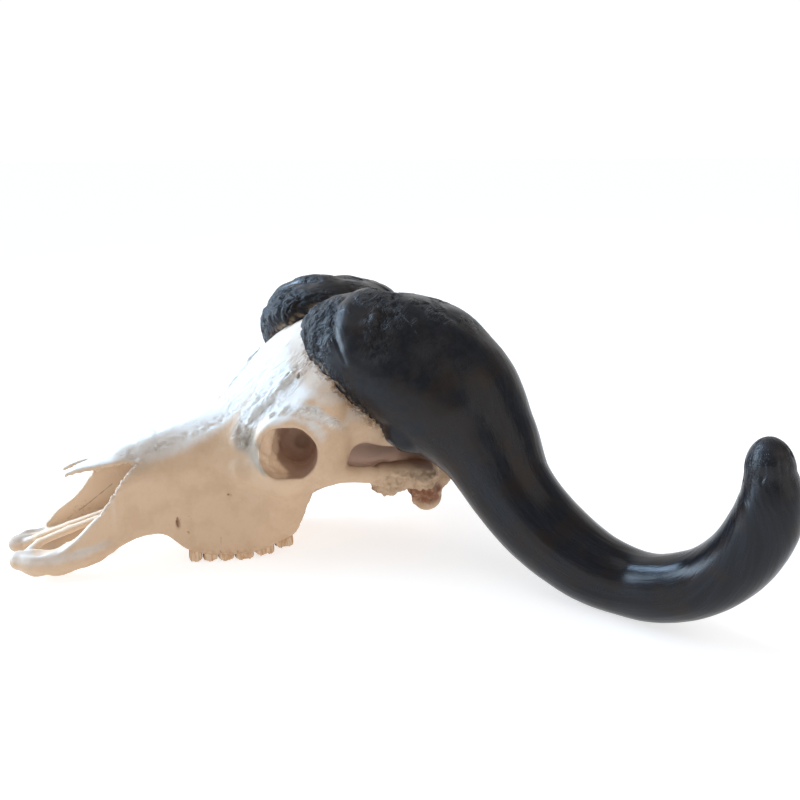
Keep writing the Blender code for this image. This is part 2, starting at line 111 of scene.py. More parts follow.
Operand = Union[Value, float]


class Graph:
    """A node tree in the making."""

    def __init__(self, tree: bpy.types.NodeTree) -> None:
        """Starts on an existing tree."""
        self.tree = tree

    def node(self, kind: str, settings: dict | None = None, inputs: dict | None = None) -> bpy.types.Node:
        """Adds a node.

        Args:
            kind: the node's type.
            settings: its properties; curve gives a curve's points.
            inputs: values or links, by the name or number of the socket.

        Returns:
            The new node.
        """
        made = self.tree.nodes.new(kind)
        for name, value in (settings or {}).items():
            if name == "curve":
                self._fill_curve(made.mapping, value)
            else:
                setattr(made, name, value)
        for key, value in (inputs or {}).items():
            if isinstance(value, Value):
                self.tree.links.new(value.socket, made.inputs[key])
            else:
                made.inputs[key].default_value = value
        return made

    @staticmethod
    def _fill_curve(mapping: bpy.types.CurveMapping, points: Sequence[tuple[float, float]]) -> None:
        """Sets a curve's points.

        Args:
            mapping: the curve node's mapping.
            points: the curve's points.
        """
        mapping.use_clip = False
        curve = mapping.curves[0]
        while len(curve.points) < len(points):
            curve.points.new(0.5, 0.5)
        for point, location in zip(curve.points, points):
            point.location = location
            point.handle_type = "AUTO_CLAMPED"
        mapping.update()

    def value(self, kind: str, settings: dict | None = None, inputs: dict | None = None,
              output: Union[int, str] = 0) -> Value:
        """Adds a node and takes one of its outputs.

        Args:
            kind: the node's type.
            settings: its properties.
            inputs: values or links of its sockets.
            output: the output's name or number.

        Returns:
            The output as a Value.
        """
        return Value(self, self.node(kind, settings, inputs).outputs[output])

    def math(self, operation: str, *values: Operand) -> Value:
        """One step of arithmetic on numbers."""
        return self.value("ShaderNodeMath", {"operation": operation}, dict(enumerate(values)))

    def vector(self, operation: str, *values: object) -> Value:
        """One step of arithmetic on vectors."""
        output = "Value" if operation in ("LENGTH", "DOT_PRODUCT") else "Vector"
        return self.value("ShaderNodeVectorMath", {"operation": operation}, dict(enumerate(values)), output)

    def scaled(self, vector: object, factor: Operand) -> Value:
        """A vector times a number."""
        return self.value("ShaderNodeVectorMath", {"operation": "SCALE"}, {0: vector, 3: factor}, "Vector")

    def colours(self, share: Operand, first: object, second: object) -> Value:
        """Mixes two colours.

        Args:
            share: how much of the second, from 0 to 1.
            first: a colour or a link.
            second: a colour or a link.

        Returns:
            The mixed colour.
        """
        inputs = {0: share, 6: self._opaque(first), 7: self._opaque(second)}
        return self.value("ShaderNodeMix", {"data_type": "RGBA"}, inputs, 2)

    def layered(self, colour: object, *coats: tuple[Operand, Colour]) -> Value:
        """Lays colours over a first one, each by its own share.

        Args:
            colour: the first colour.
            coats: a share and a colour for each layer.

        Returns:
            The colour on top.
        """
        for share, tint in coats:
            colour = self.colours(share, colour, tint)
        return colour

    @staticmethod
    def _opaque(colour: object) -> object:
        """A colour with its fourth number."""
        return colour if isinstance(colour, Value) else (*colour, 1.0)

    def _through(self, operation: str, values: Sequence[Operand], *rest: float) -> Operand:
        """Carries one operation from the first of the values through all the others.

        Args:
            operation: the Math node's operation.
            values: the values, in order.
            rest: what every step gets as well.

        Returns:
            The last result.
        """
        whole = values[0]
        for value in values[1:]:
            whole = self.math(operation, whole, value, *rest)
        return whole

    def smaller(self, *values: Operand) -> Operand:
        """The smallest of the numbers."""
        return self._through("MINIMUM", values)

    def larger(self, *values: Operand) -> Operand:
        """The largest of the numbers."""
        return self._through("MAXIMUM", values)

    def fuse(self, fillet: float, *shapes: Value) -> Value:
        """Joins distances, with a fillet where the shapes meet."""
        return self._through("SMOOTH_MIN", shapes, fillet)

    def meet(self, rounding: float, *shapes: Value) -> Value:
        """Keeps what lies in every shape, with rounded edges."""
        return self._through("SMOOTH_MAX", shapes, rounding)

    def carve(self, shape: Value, hollow: Value, rounding: float = 2.0) -> Value:
        """Takes the hollow out of the shape."""
        return self.math("SMOOTH_MAX", shape, 0.0 - hollow, rounding)

    def rise(self, value: Operand, low: float, high: float) -> Value:
        """Zero at low, one at high, even between them and level outside; low may be above high."""
        return self.value("ShaderNodeMapRange", {}, {"Value": value, "From Min": low, "From Max": high})

    def swell(self, value: Operand, low: float, high: float) -> Value:
        """Like rise, with soft ends."""
        return self.value("ShaderNodeMapRange", {"interpolation_type": "SMOOTHSTEP"},
                          {"Value": value, "From Min": low, "From Max": high})

    def between(self, first: Operand, second: Operand, share: Value) -> Value:
        """A number from first to second by share."""
        return (second - first) * share + first

    def parts(self, vector: Value) -> tuple[Value, Value, Value]:
        """The three numbers of a vector."""
        split = self.node("ShaderNodeSeparateXYZ", {}, {0: vector})
        return tuple(Value(self, socket) for socket in split.outputs)

    def whole(self, x: Operand, y: Operand, z: Operand) -> Value:
        """A vector from three numbers."""
        return self.value("ShaderNodeCombineXYZ", {}, {0: x, 1: y, 2: z})

    def noise(self, place: Value, size: float, detail: float = 2.0, rough: float = 0.5,
              warp: float = 0.0) -> Value:
        """Cloudy noise.

        Args:
            place: the point, in millimetres.
            size: the width of its blotches, in millimetres.
            detail: how many finer layers it has.
            rough: how strong the finer layers are.
            warp: how far it is distorted.

        Returns:
            A number around 0.5, nearly always from 0 to 1.
        """
        inputs = {"Vector": place, "Scale": 1.0 / size, "Detail": detail, "Roughness": rough,
                  "Distortion": warp}
        return self.value("ShaderNodeTexNoise", {}, inputs)

    def cells(self, place: Value, size: float, feature: str = "F1") -> Value:
        """Distance inside a pattern of cells of this size, as a share of the size."""
        inputs = {"Vector": place, "Scale": 1.0 / size}
        return self.value("ShaderNodeTexVoronoi", {"feature": feature}, inputs, "Distance")


class Form(Graph):
    """A Geometry Nodes tree with named inputs, whose result is one plain mesh."""

    KINDS = {
        float: "NodeSocketFloat", int: "NodeSocketInt", bpy.types.Object: "NodeSocketObject",
        bpy.types.Material: "NodeSocketMaterial",
    }

    def __init__(self, name: str, sizes: dict[str, object], finish: bpy.types.Material) -> None:
        """Makes the tree and its inputs.

        Args:
            name: the tree's name.
            sizes: its inputs by name, each with the value that the modifier gets.
            finish: the material of the result.
        """
        super().__init__(bpy.data.node_groups.new(name, "GeometryNodeTree"))
        self.sizes = {**sizes, "Finish": finish}
        self.sockets: dict[str, str] = {}
        face = self.tree.interface
        face.new_socket("Mesh", in_out="OUTPUT", socket_type="NodeSocketGeometry")
        face.new_socket("Mesh", in_out="INPUT", socket_type="NodeSocketGeometry")
        for label, value in self.sizes.items():
            kind = next(socket for made, socket in self.KINDS.items() if isinstance(value, made))
            self.sockets[label] = face.new_socket(label, in_out="INPUT", socket_type=kind).identifier
        self.start = self.tree.nodes.new("NodeGroupInput")

    def given(self, name: str) -> Value:
        """One of the tree's inputs."""
        return Value(self, self.start.outputs[name])

    def position(self) -> Value:
        """The point in hand, in metres."""
        return self.value("GeometryNodeInputPosition")

    def attribute(self, name: str, kind: str = "FLOAT") -> Value:
        """An attribute of the mesh."""
        return self.value("GeometryNodeInputNamedAttribute", {"data_type": kind}, {"Name": name})

    def keep(self, mesh: Value, name: str, number: Value) -> Value:
        """Stores a number on the points of the mesh.

        Args:
            mesh: the mesh so far.
            name: the attribute's name.
            number: what to store.

        Returns:
            The mesh with the attribute.
        """
        return self.value("GeometryNodeStoreNamedAttribute", {"data_type": "FLOAT", "domain": "POINT"},
                          {"Geometry": mesh, "Name": name, "Value": number})

    def raised(self, mesh: Value, height: Value) -> Value:
        """The mesh with its points moved out along their normals by a height in millimetres."""
        offset = self.scaled(self.value("GeometryNodeInputNormal"), height * MM)
        return self.value("GeometryNodeSetPosition", {}, {"Geometry": mesh, "Offset": offset})

    def grounded(self, mesh: Value) -> Value:
        """The mesh with every point that is under the floor lifted onto it.

        Args:
            mesh: the mesh so far.

        Returns:
            The mesh on the floor.
        """
        depth = self.smaller(self.parts(self.position())[2], 0.0)
        return self.value("GeometryNodeSetPosition", {}, {
            "Geometry": mesh, "Offset": self.whole(0.0, 0.0, 0.0 - depth)})

    def close(self, mesh: Value) -> None:
        """Ends the tree: one realized mesh, smooth, with its finish.

        Args:
            mesh: the mesh so far.
        """
        real = self.value("GeometryNodeRealizeInstances", {}, {0: mesh})
        smooth = self.value("GeometryNodeSetShadeSmooth", {}, {"Geometry": real, "Shade Smooth": True})
        dressed = self.value("GeometryNodeSetMaterial", {}, {
            "Geometry": smooth, "Material": self.given("Finish")})
        end = self.tree.nodes.new("NodeGroupOutput")
        self.tree.links.new(dressed.socket, end.inputs[0])

    def apply(self, target: bpy.types.Object) -> None:
        """Runs the tree on an object and keeps the plain mesh.

        Args:
            target: the object, whose mesh the tree changes.
        """
        modifier = target.modifiers.new(self.tree.name, "NODES")
        modifier.node_group = self.tree
        for label, identifier in self.sockets.items():
            modifier[identifier] = self.sizes[label]
        settle(target)


# ---- Meshes ----


def settle(target: bpy.types.Object) -> None:
    """Turns an object's modifiers into its plain mesh.

    Args:
        target: the object.
    """
    depsgraph = bpy.context.evaluated_depsgraph_get()
    mesh = bpy.data.meshes.new_from_object(
        target.evaluated_get(depsgraph), preserve_all_data_layers=True, depsgraph=depsgraph)
    target.modifiers.clear()
    target.data = mesh


def new_object(name: str, data: bpy.types.ID) -> bpy.types.Object:
    """An object in the scene, with this mesh, lamp or camera.

    Args:
        name: its name.
        data: what it shows.

    Returns:
        The object.
    """
    made = bpy.data.objects.new(name, data)
    bpy.context.scene.collection.objects.link(made)
    return made


def triangle_count(piece: bpy.types.Object) -> int:
    """How many triangles a piece has."""
    return sum(len(face.vertices) - 2 for face in piece.data.polygons)


def dress(piece: bpy.types.Object, material: bpy.types.Material) -> None:
    """Gives a piece one material and no other."""
    piece.data.materials.clear()
    piece.data.materials.append(material)


def mesh_of(name: str, points: np.ndarray, faces: Sequence[Sequence[int]]) -> bpy.types.Mesh:
    """A smooth mesh.

    Args:
        name: the mesh's name.
        points: one row for each point, in millimetres from the tip of the nose.
        faces: the points of each face.

    Returns:
        The mesh, in metres in the frame.
    """
    mesh = bpy.data.meshes.new(name)
    placed = (points - np.array((0.0, NOSE_TO_ORIGIN, 0.0))) * MM
    mesh.from_pydata(placed.tolist(), [], faces)
    mesh.shade_smooth()
    return mesh


def tube_faces(rings: int, sides: int, turned: bool) -> list[tuple[int, ...]]:
    """Faces of a tube of rings with a pole point before and after them.

    Args:
        rings: how many rings.
        sides: how many points a ring has.
        turned: whether to turn each face over, as a mirrored tube needs.

    Returns:
        The faces; the poles are the last two points.
    """
    faces = []
    first_pole, last_pole = rings * sides, rings * sides + 1
    for side in range(sides):
        after = (side + 1) % sides
        faces.append((first_pole, after, side))
        start = (rings - 1) * sides
        faces.append((last_pole, start + side, start + after))
        for ring in range(rings - 1):
            row, above = ring * sides, (ring + 1) * sides
            faces.append((row + side, row + after, above + after, above + side))
    return [face[::-1] for face in faces] if turned else faces


def store_numbers(mesh: bpy.types.Mesh, name: str, numbers: np.ndarray) -> None:
    """Stores numbers or vectors on the points of a mesh."""
    kind, slot = ("FLOAT", "value") if numbers.ndim == 1 else ("FLOAT_VECTOR", "vector")
    mesh.attributes.new(name, kind, "POINT").data.foreach_set(slot, numbers.astype(np.float32).ravel())


def largest_body(mesh: bpy.types.Mesh) -> None:
    """Deletes every loose scrap of a mesh.

    Args:
        mesh: the mesh, which keeps its largest body.
    """
    bm = bmesh.new()
    bm.from_mesh(mesh)
    left = set(bm.verts)
    bodies = []
    while left:
        body = [left.pop()]
        for vert in body:
            for edge in vert.link_edges:
                other = edge.other_vert(vert)
                if other in left:
                    left.remove(other)
                    body.append(other)
        bodies.append(body)
    bodies.sort(key=len)
    for body in bodies[:-1]:
        bmesh.ops.delete(bm, geom=body, context="VERTS")
    bm.to_mesh(mesh)
    bm.free()


def cut(target: bpy.types.Object, cutter: bpy.types.Object) -> None:
    """Takes the cutter's shape out of the target.

    Args:
        target: what is cut.
        cutter: the shape that goes.
    """
    boolean = target.modifiers.new("Cut", "BOOLEAN")
    boolean.operation = "DIFFERENCE"
    boolean.solver = "MANIFOLD"
    boolean.object = cutter
    settle(target)


def through(rows: np.ndarray, at: np.ndarray) -> np.ndarray:
    """A smooth curve through evenly spaced rows of numbers.

    Args:
        rows: the numbers at 0, 1, 2 and so on.
        at: where to read the curve.

    Returns:
        One row for each place.
    """
    last = len(rows) - 1
    index = np.minimum(at.astype(int), last - 1)
    share = (at - index)[:, None]
    before, start = rows[np.maximum(index - 1, 0)], rows[index]
    end, after = rows[index + 1], rows[np.minimum(index + 2, last)]
    return 0.5 * (2 * start + (end - before) * share
                  + (2 * before - 5 * start + 4 * end - after) * share ** 2
                  + (3 * start - before - 3 * end + after) * share ** 3)


def steps_along(centres: np.ndarray) -> np.ndarray:
    """The distance from each of the centres to the next."""
    return np.linalg.norm(np.diff(centres, axis=0), axis=1)


def running_sum(steps: np.ndarray) -> np.ndarray:
    """What the steps add up to, from zero on."""
    return np.concatenate(([0.0], np.cumsum(steps)))


# ---- Finishes ----


class Coat(Graph):
    """A material in the making, with its one shader."""

    def __init__(self, name: str) -> None:
        """Starts a material with this name.

        Args:
            name: the material's name.
        """
        self.material = bpy.data.materials.new(name)
        self.material.use_nodes = True
        super().__init__(self.material.node_tree)
        self.shader = self.tree.nodes["Principled BSDF"]

    def place(self) -> Value:
        """The point in hand, in millimetres."""
        return self.scaled(self.value("ShaderNodeTexCoord", {}, {}, "Object"), 1.0 / MM)

    def stored(self, name: str, output: str = "Fac") -> Value:
        """A number, or with Vector a vector, that is stored on the surface."""
        return self.value("ShaderNodeAttribute", {"attribute_name": name}, {}, output)

    def drive(self, socket: str, value: Value) -> None:
        """Links a value to one of the shader's sockets."""
        self.tree.links.new(value.socket, self.shader.inputs[socket])

    def emboss(self, height: Value, strength: float, depth: float) -> None:
        """Gives the surface a fine grain.

        Args:
            height: how high each point stands.
            strength: how much of the grain shows.
            depth: what a height of one stands for, in metres.
        """
        inputs = {"Strength": strength, "Distance": depth, "Height": height}
        self.drive("Normal", self.value("ShaderNodeBump", {}, inputs, "Normal"))


@dataclass(frozen=True)
class BoneFinish:
    """Dry bone: ivory above, partly real bleaching and partly painted light; tan on its flanks; painted brown
    shade in its hollows.
    """

    # Ivory: real bleaching, and painted light on faces that look up
    ivory: Colour = (0.73, 0.715, 0.685)
    tan: Colour = (0.58, 0.40, 0.255)
    mottle: Colour = (0.44, 0.27, 0.155)
    # Painted shade: brown deep in the eye socket and in the temple pit
    hollow: Colour = (0.39, 0.245, 0.18)
    # Painted light: a paler tan for the airway's far wall and the lit front wall of the eye socket
    wall: Colour = (0.80, 0.60, 0.42)
    # Painted shade: grey for the dip ahead of the eye, the nasal bones' lower sides and the far premaxilla's
    # dish
    shade_grey: Colour = (0.30, 0.25, 0.195)
    stain: Colour = (0.25, 0.085, 0.035)
    crust: Colour = (0.36, 0.20, 0.10)
    # Dark marks: real pores, seams and spots, and painted shade in the small holes, the nerve's canal and the
    # temple pit
    dark_mark_and_shade: Colour = (0.16, 0.09, 0.055)
    roughness: float = 0.62
    mottle_size: float = 26.0
    speck_size: float = 4.2
    pore_size: float = 5.5
    vein_size: float = 34.0
    vein_drift: float = 14.0
    grain_strength: float = 0.55
    grain_depth: float = 0.0008

    def material(self) -> bpy.types.Material:
        """Builds the material.

        Returns:
            The bone's material.
        """
        g = Coat("bone")
        place = g.place()
        rugged = g.stored("rugged")
        drawn = g.vector("MULTIPLY", place, (1.0, 0.6, 1.0))
        specks = g.swell(g.noise(drawn, self.speck_size, 4.0, 0.66), 0.50, 0.68)
        pored = g.swell(g.noise(place, 30.0), 0.52, 0.66)
        pores = g.rise(g.cells(place, self.pore_size), 0.105, 0.05) * pored
        g.drive("Base Color", self._colour(g, place, specks * rugged, pores))
        rough = self.roughness + (g.noise(place, 7.0) - 0.5) * 0.16 - g.stored("polished") * 0.26
        g.drive("Roughness", rough)
        combed = g.vector("MULTIPLY", combed_place(g, place), (1.0, 0.6, 1.0))
        crisp = g.smaller(g.math("ABSOLUTE", g.noise(combed, 3.6, 3.0, 0.6, 0.6) - 0.5) * 7.0, 1.0)
        coarse = rugged * (g.noise(place, 2.4, 3.0, 0.65) * 1.2 + crisp * 5.0 - specks * 2.0)
        grain = g.noise(place, 1.3, 3.0, 0.6) * 0.5 + g.noise(place, 4.0) * 0.6 - pores * 0.9
        g.emboss(grain + coarse, self.grain_strength, self.grain_depth)
        return g.material

    def _colour(self, g: Coat, place: Value, specks: Value, pores: Value) -> Value:
        """The bone's colours, laid over each other.

        Args:
            g: the material.
            place: the point in hand.
            specks: where the rugged bone has specks.
            pores: where it has pores.

        Returns:
            The colour.
        """
        bleached, walled = g.stored("bleached"), g.stored("walled")
        mottles = g.swell(g.noise(place, self.mottle_size, 3.0, 0.55), 0.44, 0.66)
        fine = g.swell(g.noise(place, 5.0, 3.0, 0.6), 0.50, 0.74)
        bent = g.vector("ADD", place, g.scaled(self._wander(g, place), self.vein_drift))
        veins = g.rise(g.cells(bent, self.vein_size, "DISTANCE_TO_EDGE"), 0.022, 0.004)
        faint = veins * g.swell(g.noise(place, 40.0), 0.5, 0.7) * (1.0 - bleached) * (1.0 - walled)
        crust = g.stored("crust") * g.swell(g.noise(place, 4.5, 3.0, 0.6), 0.40, 0.62)
        stain = g.stored("stain") * g.swell(g.noise(place, 11.0, 3.0, 0.6), 0.30, 0.55)
        # The line attribute is painted shade in the small holes, the nerve's canal and the temple pit; the
        # other marks are real
        marks = g.larger(g.stored("line"), self._marks(g, place))
        # Painted light and shade among the layers: the ivory on faces that look up, the wall tan, the shade
        # grey, the hollow brown and the dark marks in the holes
        return g.layered(
            self.tan, (bleached, self.ivory), (mottles * (1.0 - bleached) * 0.32, self.mottle),
            (g.stored("dusty") * 0.9, self.shade_grey), (fine * 0.14, self.mottle), (walled * 0.85, self.wall),
            (specks * bleached * 0.16, self.tan), (faint * 0.14, self.crust), (crust * 0.85, self.crust),
            (g.stored("hollow") * (0.76 + g.noise(place, 18.0) * 0.36), self.hollow),
            (stain * 0.9, self.stain), (g.larger(pores * 0.6, marks * 0.7), self.dark_mark_and_shade))

    @staticmethod
    def _marks(g: Graph, place: Value) -> Value:
        """The dark seam and spots on the inner wall of the right side, and a crack in the nasal bone.

        Args:
            g: the material.
            place: the point in hand.

        Returns:
            How dark the marks are, from 0 to 1.
        """
        work = g.vector("ADD", place, (0, NOSE_TO_ORIGIN, 0))
        lines = [*zip(FAR_SEAM, FAR_SEAM[1:]), NASAL_CRACK]
        gaps = [Shapes.bar_distance(g, work, *ends, 0.0, 0.0, (1, 0, 0), 1.0) for ends in lines]
        seam = g.swell(g.smaller(*gaps) + (g.noise(place, 7.0) - 0.5) * 1.6, 0.9, 0.2) * 0.7
        near = g.vector("LENGTH", g.vector("SUBTRACT", work, FAR_SPOT))
        spots = g.swell(g.noise(place, 3.4, 3.0), 0.50, 0.68) * g.swell(near, 17.0, 3.0)
        return g.larger(seam, spots * 0.4)

    @staticmethod
    def _wander(g: Graph, place: Value) -> Value:
        """A vector that drifts over the surface, which bends straight lines.

        Args:
            g: the material.
            place: the point in hand, in millimetres.

        Returns:
            The vector.
        """
        inputs = {"Vector": place, "Scale": 1.0 / 30.0, "Detail": 2.0}
        cloud = g.value("ShaderNodeTexNoise", {}, inputs, "Color")
        return g.vector("SUBTRACT", cloud, (0.5, 0.5, 0.5))


@dataclass(frozen=True)
class HornFinish:
    """Oiled black horn: blue charcoal with brown patches and a soft sheen."""

    charcoal: Colour = (0.0045, 0.005, 0.0070)
    slate: Colour = (0.009, 0.010, 0.0145)
    brown: Colour = (0.013, 0.0080, 0.0062)
    ridge: Colour = (0.034, 0.033, 0.036)
    crack: Colour = (0.004, 0.0035, 0.0035)
    crust: Colour = (0.30, 0.215, 0.14)
    roughness: float = 0.27
    gloss: float = 0.26
    streak_size: float = 4.0
    cloud_size: float = 9.0
    patch_size: float = 55.0
    wrinkle_size: float = 5.5
    pit_size: float = 2.6
    grain_strength: float = 0.5
    grain_depth: float = 0.0012

    def material(self) -> bpy.types.Material:
        """Builds the material.

        Returns:
            The horn's material.
        """
        g = Coat("horn")
        place, grain = g.place(), g.stored("grain", "Vector")
        rough = g.stored("weathered")
        boss = g.swell(g.stored("reach"), 240.0, 150.0)
        streaks = g.noise(g.vector("MULTIPLY", grain, (1.0, 1.0, 0.07)), self.streak_size, 4.0, 0.62)
        tone = g.between(streaks, g.noise(place, self.cloud_size, 4.0, 0.65), boss)
        patches = g.swell(g.noise(place, self.patch_size, 4.0, 0.6), 0.46, 0.62)
        flow = g.whole(g.stored("around") * 0.3, g.stored("reach"), 0.0)
        bands = g.math("ABSOLUTE", g.noise(flow, self.wrinkle_size, 3.0, 0.6, 0.4) - 0.5)
        lines = g.smaller(bands * 7.0, 1.0)
        ridge = g.between(g.stored("ridge"), lines, boss * 0.5) + (g.noise(place, 3.0, 3.0, 0.6) - 0.5) * 0.4
        crust = g.stored("crust") * g.swell(g.noise(place, 9.0, 3.0, 0.6), 0.36, 0.58)
        g.drive("Base Color", g.layered(
            self.charcoal, (g.swell(tone, 0.36, 0.68), self.slate), (patches * 0.9, self.brown),
            (g.swell(ridge, 0.50, 0.85) * rough * 0.5, self.ridge),
            (g.swell(ridge, 0.36, 0.12) * rough * 0.8, self.crack), (crust * 0.8, self.crust)))
        g.shader.inputs["Specular IOR Level"].default_value = self.gloss
        dull = self.roughness + (tone - 0.5) * 0.16 + rough * 0.14 + boss * 0.07 + crust * 0.25
        g.drive("Roughness", dull + (g.noise(place, 24.0, 3.0) - 0.5) * 0.18 - (1.0 - boss) * 0.03)
        fine = g.noise(g.vector("MULTIPLY", grain, (1.0, 1.0, 0.10)), 1.6, 3.0, 0.6)
        pits = g.rise(g.cells(place, self.pit_size), 0.30, 0.10) * rough
        wrinkles = (g.noise(place, 2.2, 3.0, 0.62) + lines * 2.2 * boss) * rough
        height = tone * (0.3 + boss * 0.4) + fine * 0.18 - pits * 1.1 + wrinkles
        g.emboss(height, self.grain_strength, self.grain_depth)
        return g.material


@dataclass(frozen=True)
class ToothFinish:
    """Worn enamel: tan, and a darker brown towards the gaps and in the pits."""

    enamel: Colour = (0.64, 0.47, 0.32)
    amber: Colour = (0.47, 0.26, 0.12)
    dark_brown: Colour = (0.12, 0.062, 0.03)
    roughness: float = 0.38
    streak_size: float = 3.5
    grain_size: float = 1.2
    grain_strength: float = 0.4
    grain_depth: float = 0.0004

    def material(self) -> bpy.types.Material:
        """Builds the material.

        Returns:
            The teeth's material.
        """
        g = Coat("tooth")
        place = g.place()
        upright = g.vector("MULTIPLY", place, (1.0, 1.0, 0.25))
        streaks = g.swell(g.noise(upright, self.streak_size, 3.0, 0.6), 0.36, 0.66)
        darkening = g.larger(g.stored("gap"), g.stored("pit"))
        dark_brown = g.swell(darkening + (g.noise(place, 2.5) - 0.5) * 0.6, 0.35, 0.95)
        g.drive("Base Color", g.layered(self.enamel, (streaks, self.amber), (dark_brown, self.dark_brown)))
        g.drive("Roughness", self.roughness + g.noise(place, 2.0) * 0.2 + darkening * 0.25)
        g.emboss(g.noise(upright, self.grain_size, 3.0, 0.6), self.grain_strength, self.grain_depth)
        return g.material


# ---- The bone ----


# Side view: height above the ground, at distances from the nose
ROOF_HEIGHT = {
    60: 106, 75: 117, 110: 128, 140: 141, 180: 152, 227: 167, 257: 179, 285: 202,
    310: 228, 335: 250, 365: 268, 400: 283, 440: 287, 480: 275, 515: 245, 545: 200,
}
UNDERSIDE = {
    40: 6, 56: 5, 78: 10, 98: 14, 109: 21, 132: 32, 155: 36, 171: 34, 184: 24, 196: 16,
    212: 11, 235: 8, 265: 9, 296: 17, 315: 25,
}
LEFT_NOSE_EDGE = {45: 22, 53: 29, 74: 44, 91: 60, 106: 73, 112: 82, 124: 98, 131: 108, 146: 121}
RIGHT_NOSE_EDGE = {33: 28, 51: 41, 62: 52, 78: 63, 88: 72, 102: 89, 110: 97, 128: 112, 146: 124}

# Plan view: half widths, at distances from the nose
ALVEOLAR_HALF = {
    40: 45, 60: 47, 100: 46, 150: 43, 178: 46, 192: 54, 212: 60, 240: 67, 280: 74.5,
    312: 74, 335: 62,
}
UPPER_HALF = {
    60: 44, 110: 47, 150: 44, 185: 45, 230: 51, 258: 62, 280: 84, 300: 97, 330: 104,
    365: 103, 400: 106, 440: 110, 480: 108, 515: 95, 540: 70,
}
NASAL_OUTER_HALF = {69: 13, 85: 16.5, 100: 19.5, 120: 24, 140: 29, 160: 36}
NASAL_THICKNESS = {69: 3.4, 90: 4.4, 120: 5.2}
NASAL_INNER_HALF = {69: 10, 81: 5, 93: 1.5, 102: -3}
ROOF_FALL = {
    75: 125, 110: 140, 150: 190, 180: 212, 218: 190, 240: 150, 260: 105, 285: 62, 305: 48, 340: 45, 400: 55,
    460: 60, 540: 70,
}
ROOF_FALL_REACH = 100.0
AIRWAY_FLOOR = {40: 30, 110: 46, 190: 52, 300: 60}
PROFILE_SPAN = 600.0
PROFILE_RISE = 400.0

# The right side grew a little ahead of the left
RIGHT_LEAD = 0.10
RIGHT_HORN_LEAD = 0.25
RIGHT_LEAD_REACH = 110.0

# Seams and ridges that lie on the surface
NASAL_SEAM = (
    (22, 139, 130), (30.7, 148.9, 124.2), (26.1, 171.2, 135.6), (23.8, 191.1, 143.4), (26.6, 211.5, 148),
    (27.2, 234.9, 157.7), (29, 253.7, 167.2),
)
NOSE_RIM = (
    (31.9, 147.5, 122.3), (37, 139.8, 113), (39.8, 130.1, 103.3), (43.3, 122.5, 92.4), (45.2, 114, 82.3),
    (43.6, 105.8, 72.1),
)
FAR_SEAM = ((-37.5, 121, 75.7), (-37.5, 106, 64.8), (-37, 88, 52.2), (-35.4, 67, 39.9))
FAR_SPOT = (-37.0, 84.0, 49.0)
NASAL_CRACK = ((21.0, 131.0, 129.3), (22.5, 140.0, 131.8))
RUGGED_CREST = (
    (60.1, 266.7, 153), (57.4, 273.6, 167), (57.3, 283.5, 180.2), (63.5, 296.5, 193.6),
    (67.6, 310, 207.5), (66.1, 322.5, 221.2),
)
BROW = (
    (86, 294, 177), (91.5, 306, 182.5), (102, 326, 183.5), (108, 341, 180.5), (112, 354, 172),
    (104, 372, 156),
)
# The slit of the cheek's nerve, two pits over the eye and two pin holes: centre, radii and turn
SMALL_HOLES = (
    ((49, 186.5, 50), (7, 1.7, 7), (0, 0, 8)), ((66, 318.4, 217), (2.0, 3.2, 6)),
    ((75.5, 327.9, 219), (1.5, 2.4, 5)), ((61, 244.4, 81), (6, 1.0, 1.0)), ((53, 197, 38.3), (5, 0.9, 1.1)),
)
EYE_CENTRE = (107.0, 306.0, 140.5)
EYE_FACING = (0.950, -0.295, 0.100)


def folded_place(g: Graph, lead: float) -> tuple[Value, Value]:
    """The point in hand, in millimetres from the nose.

    Args:
        g: the tree in hand.
        lead: how far the right side is ahead of the left, for each millimetre off the midline.

    Returns:
        The point, and the point folded onto the left side.
    """
    place = g.vector("MULTIPLY", g.value("GeometryNodeInputPosition"), (1 / MM, 1 / MM, 1 / MM))
    place = g.vector("ADD", place, (0, NOSE_TO_ORIGIN, 0))
    side, along, height = g.parts(place)
    shift = g.smaller(g.larger(0.0 - side, 0.0), RIGHT_LEAD_REACH) * lead
    return place, g.whole(g.math("ABSOLUTE", side), along + shift, height)


def turn_right(points: np.ndarray, lead: float) -> None:
    """Mirrors points of the left side onto the right side, which has this lead."""
    points[:, 1] -= np.minimum(points[:, 0], RIGHT_LEAD_REACH) * lead
    points[:, 0] *= -1.0


def combed_place(g: Graph, place: Value) -> Value:
    """The point, drawn out along lines that climb backwards up the forehead.

    Args:
        g: the tree in hand.
        place: the point in hand, in millimetres.

    Returns:
        The point, turned and stretched.
    """
    turned = g.value("ShaderNodeVectorRotate", {"rotation_type": "X_AXIS"},
                     {"Vector": place, "Angle": math.radians(-42.0)})
    return g.vector("MULTIPLY", turned, (1.0, 0.28, 1.0))


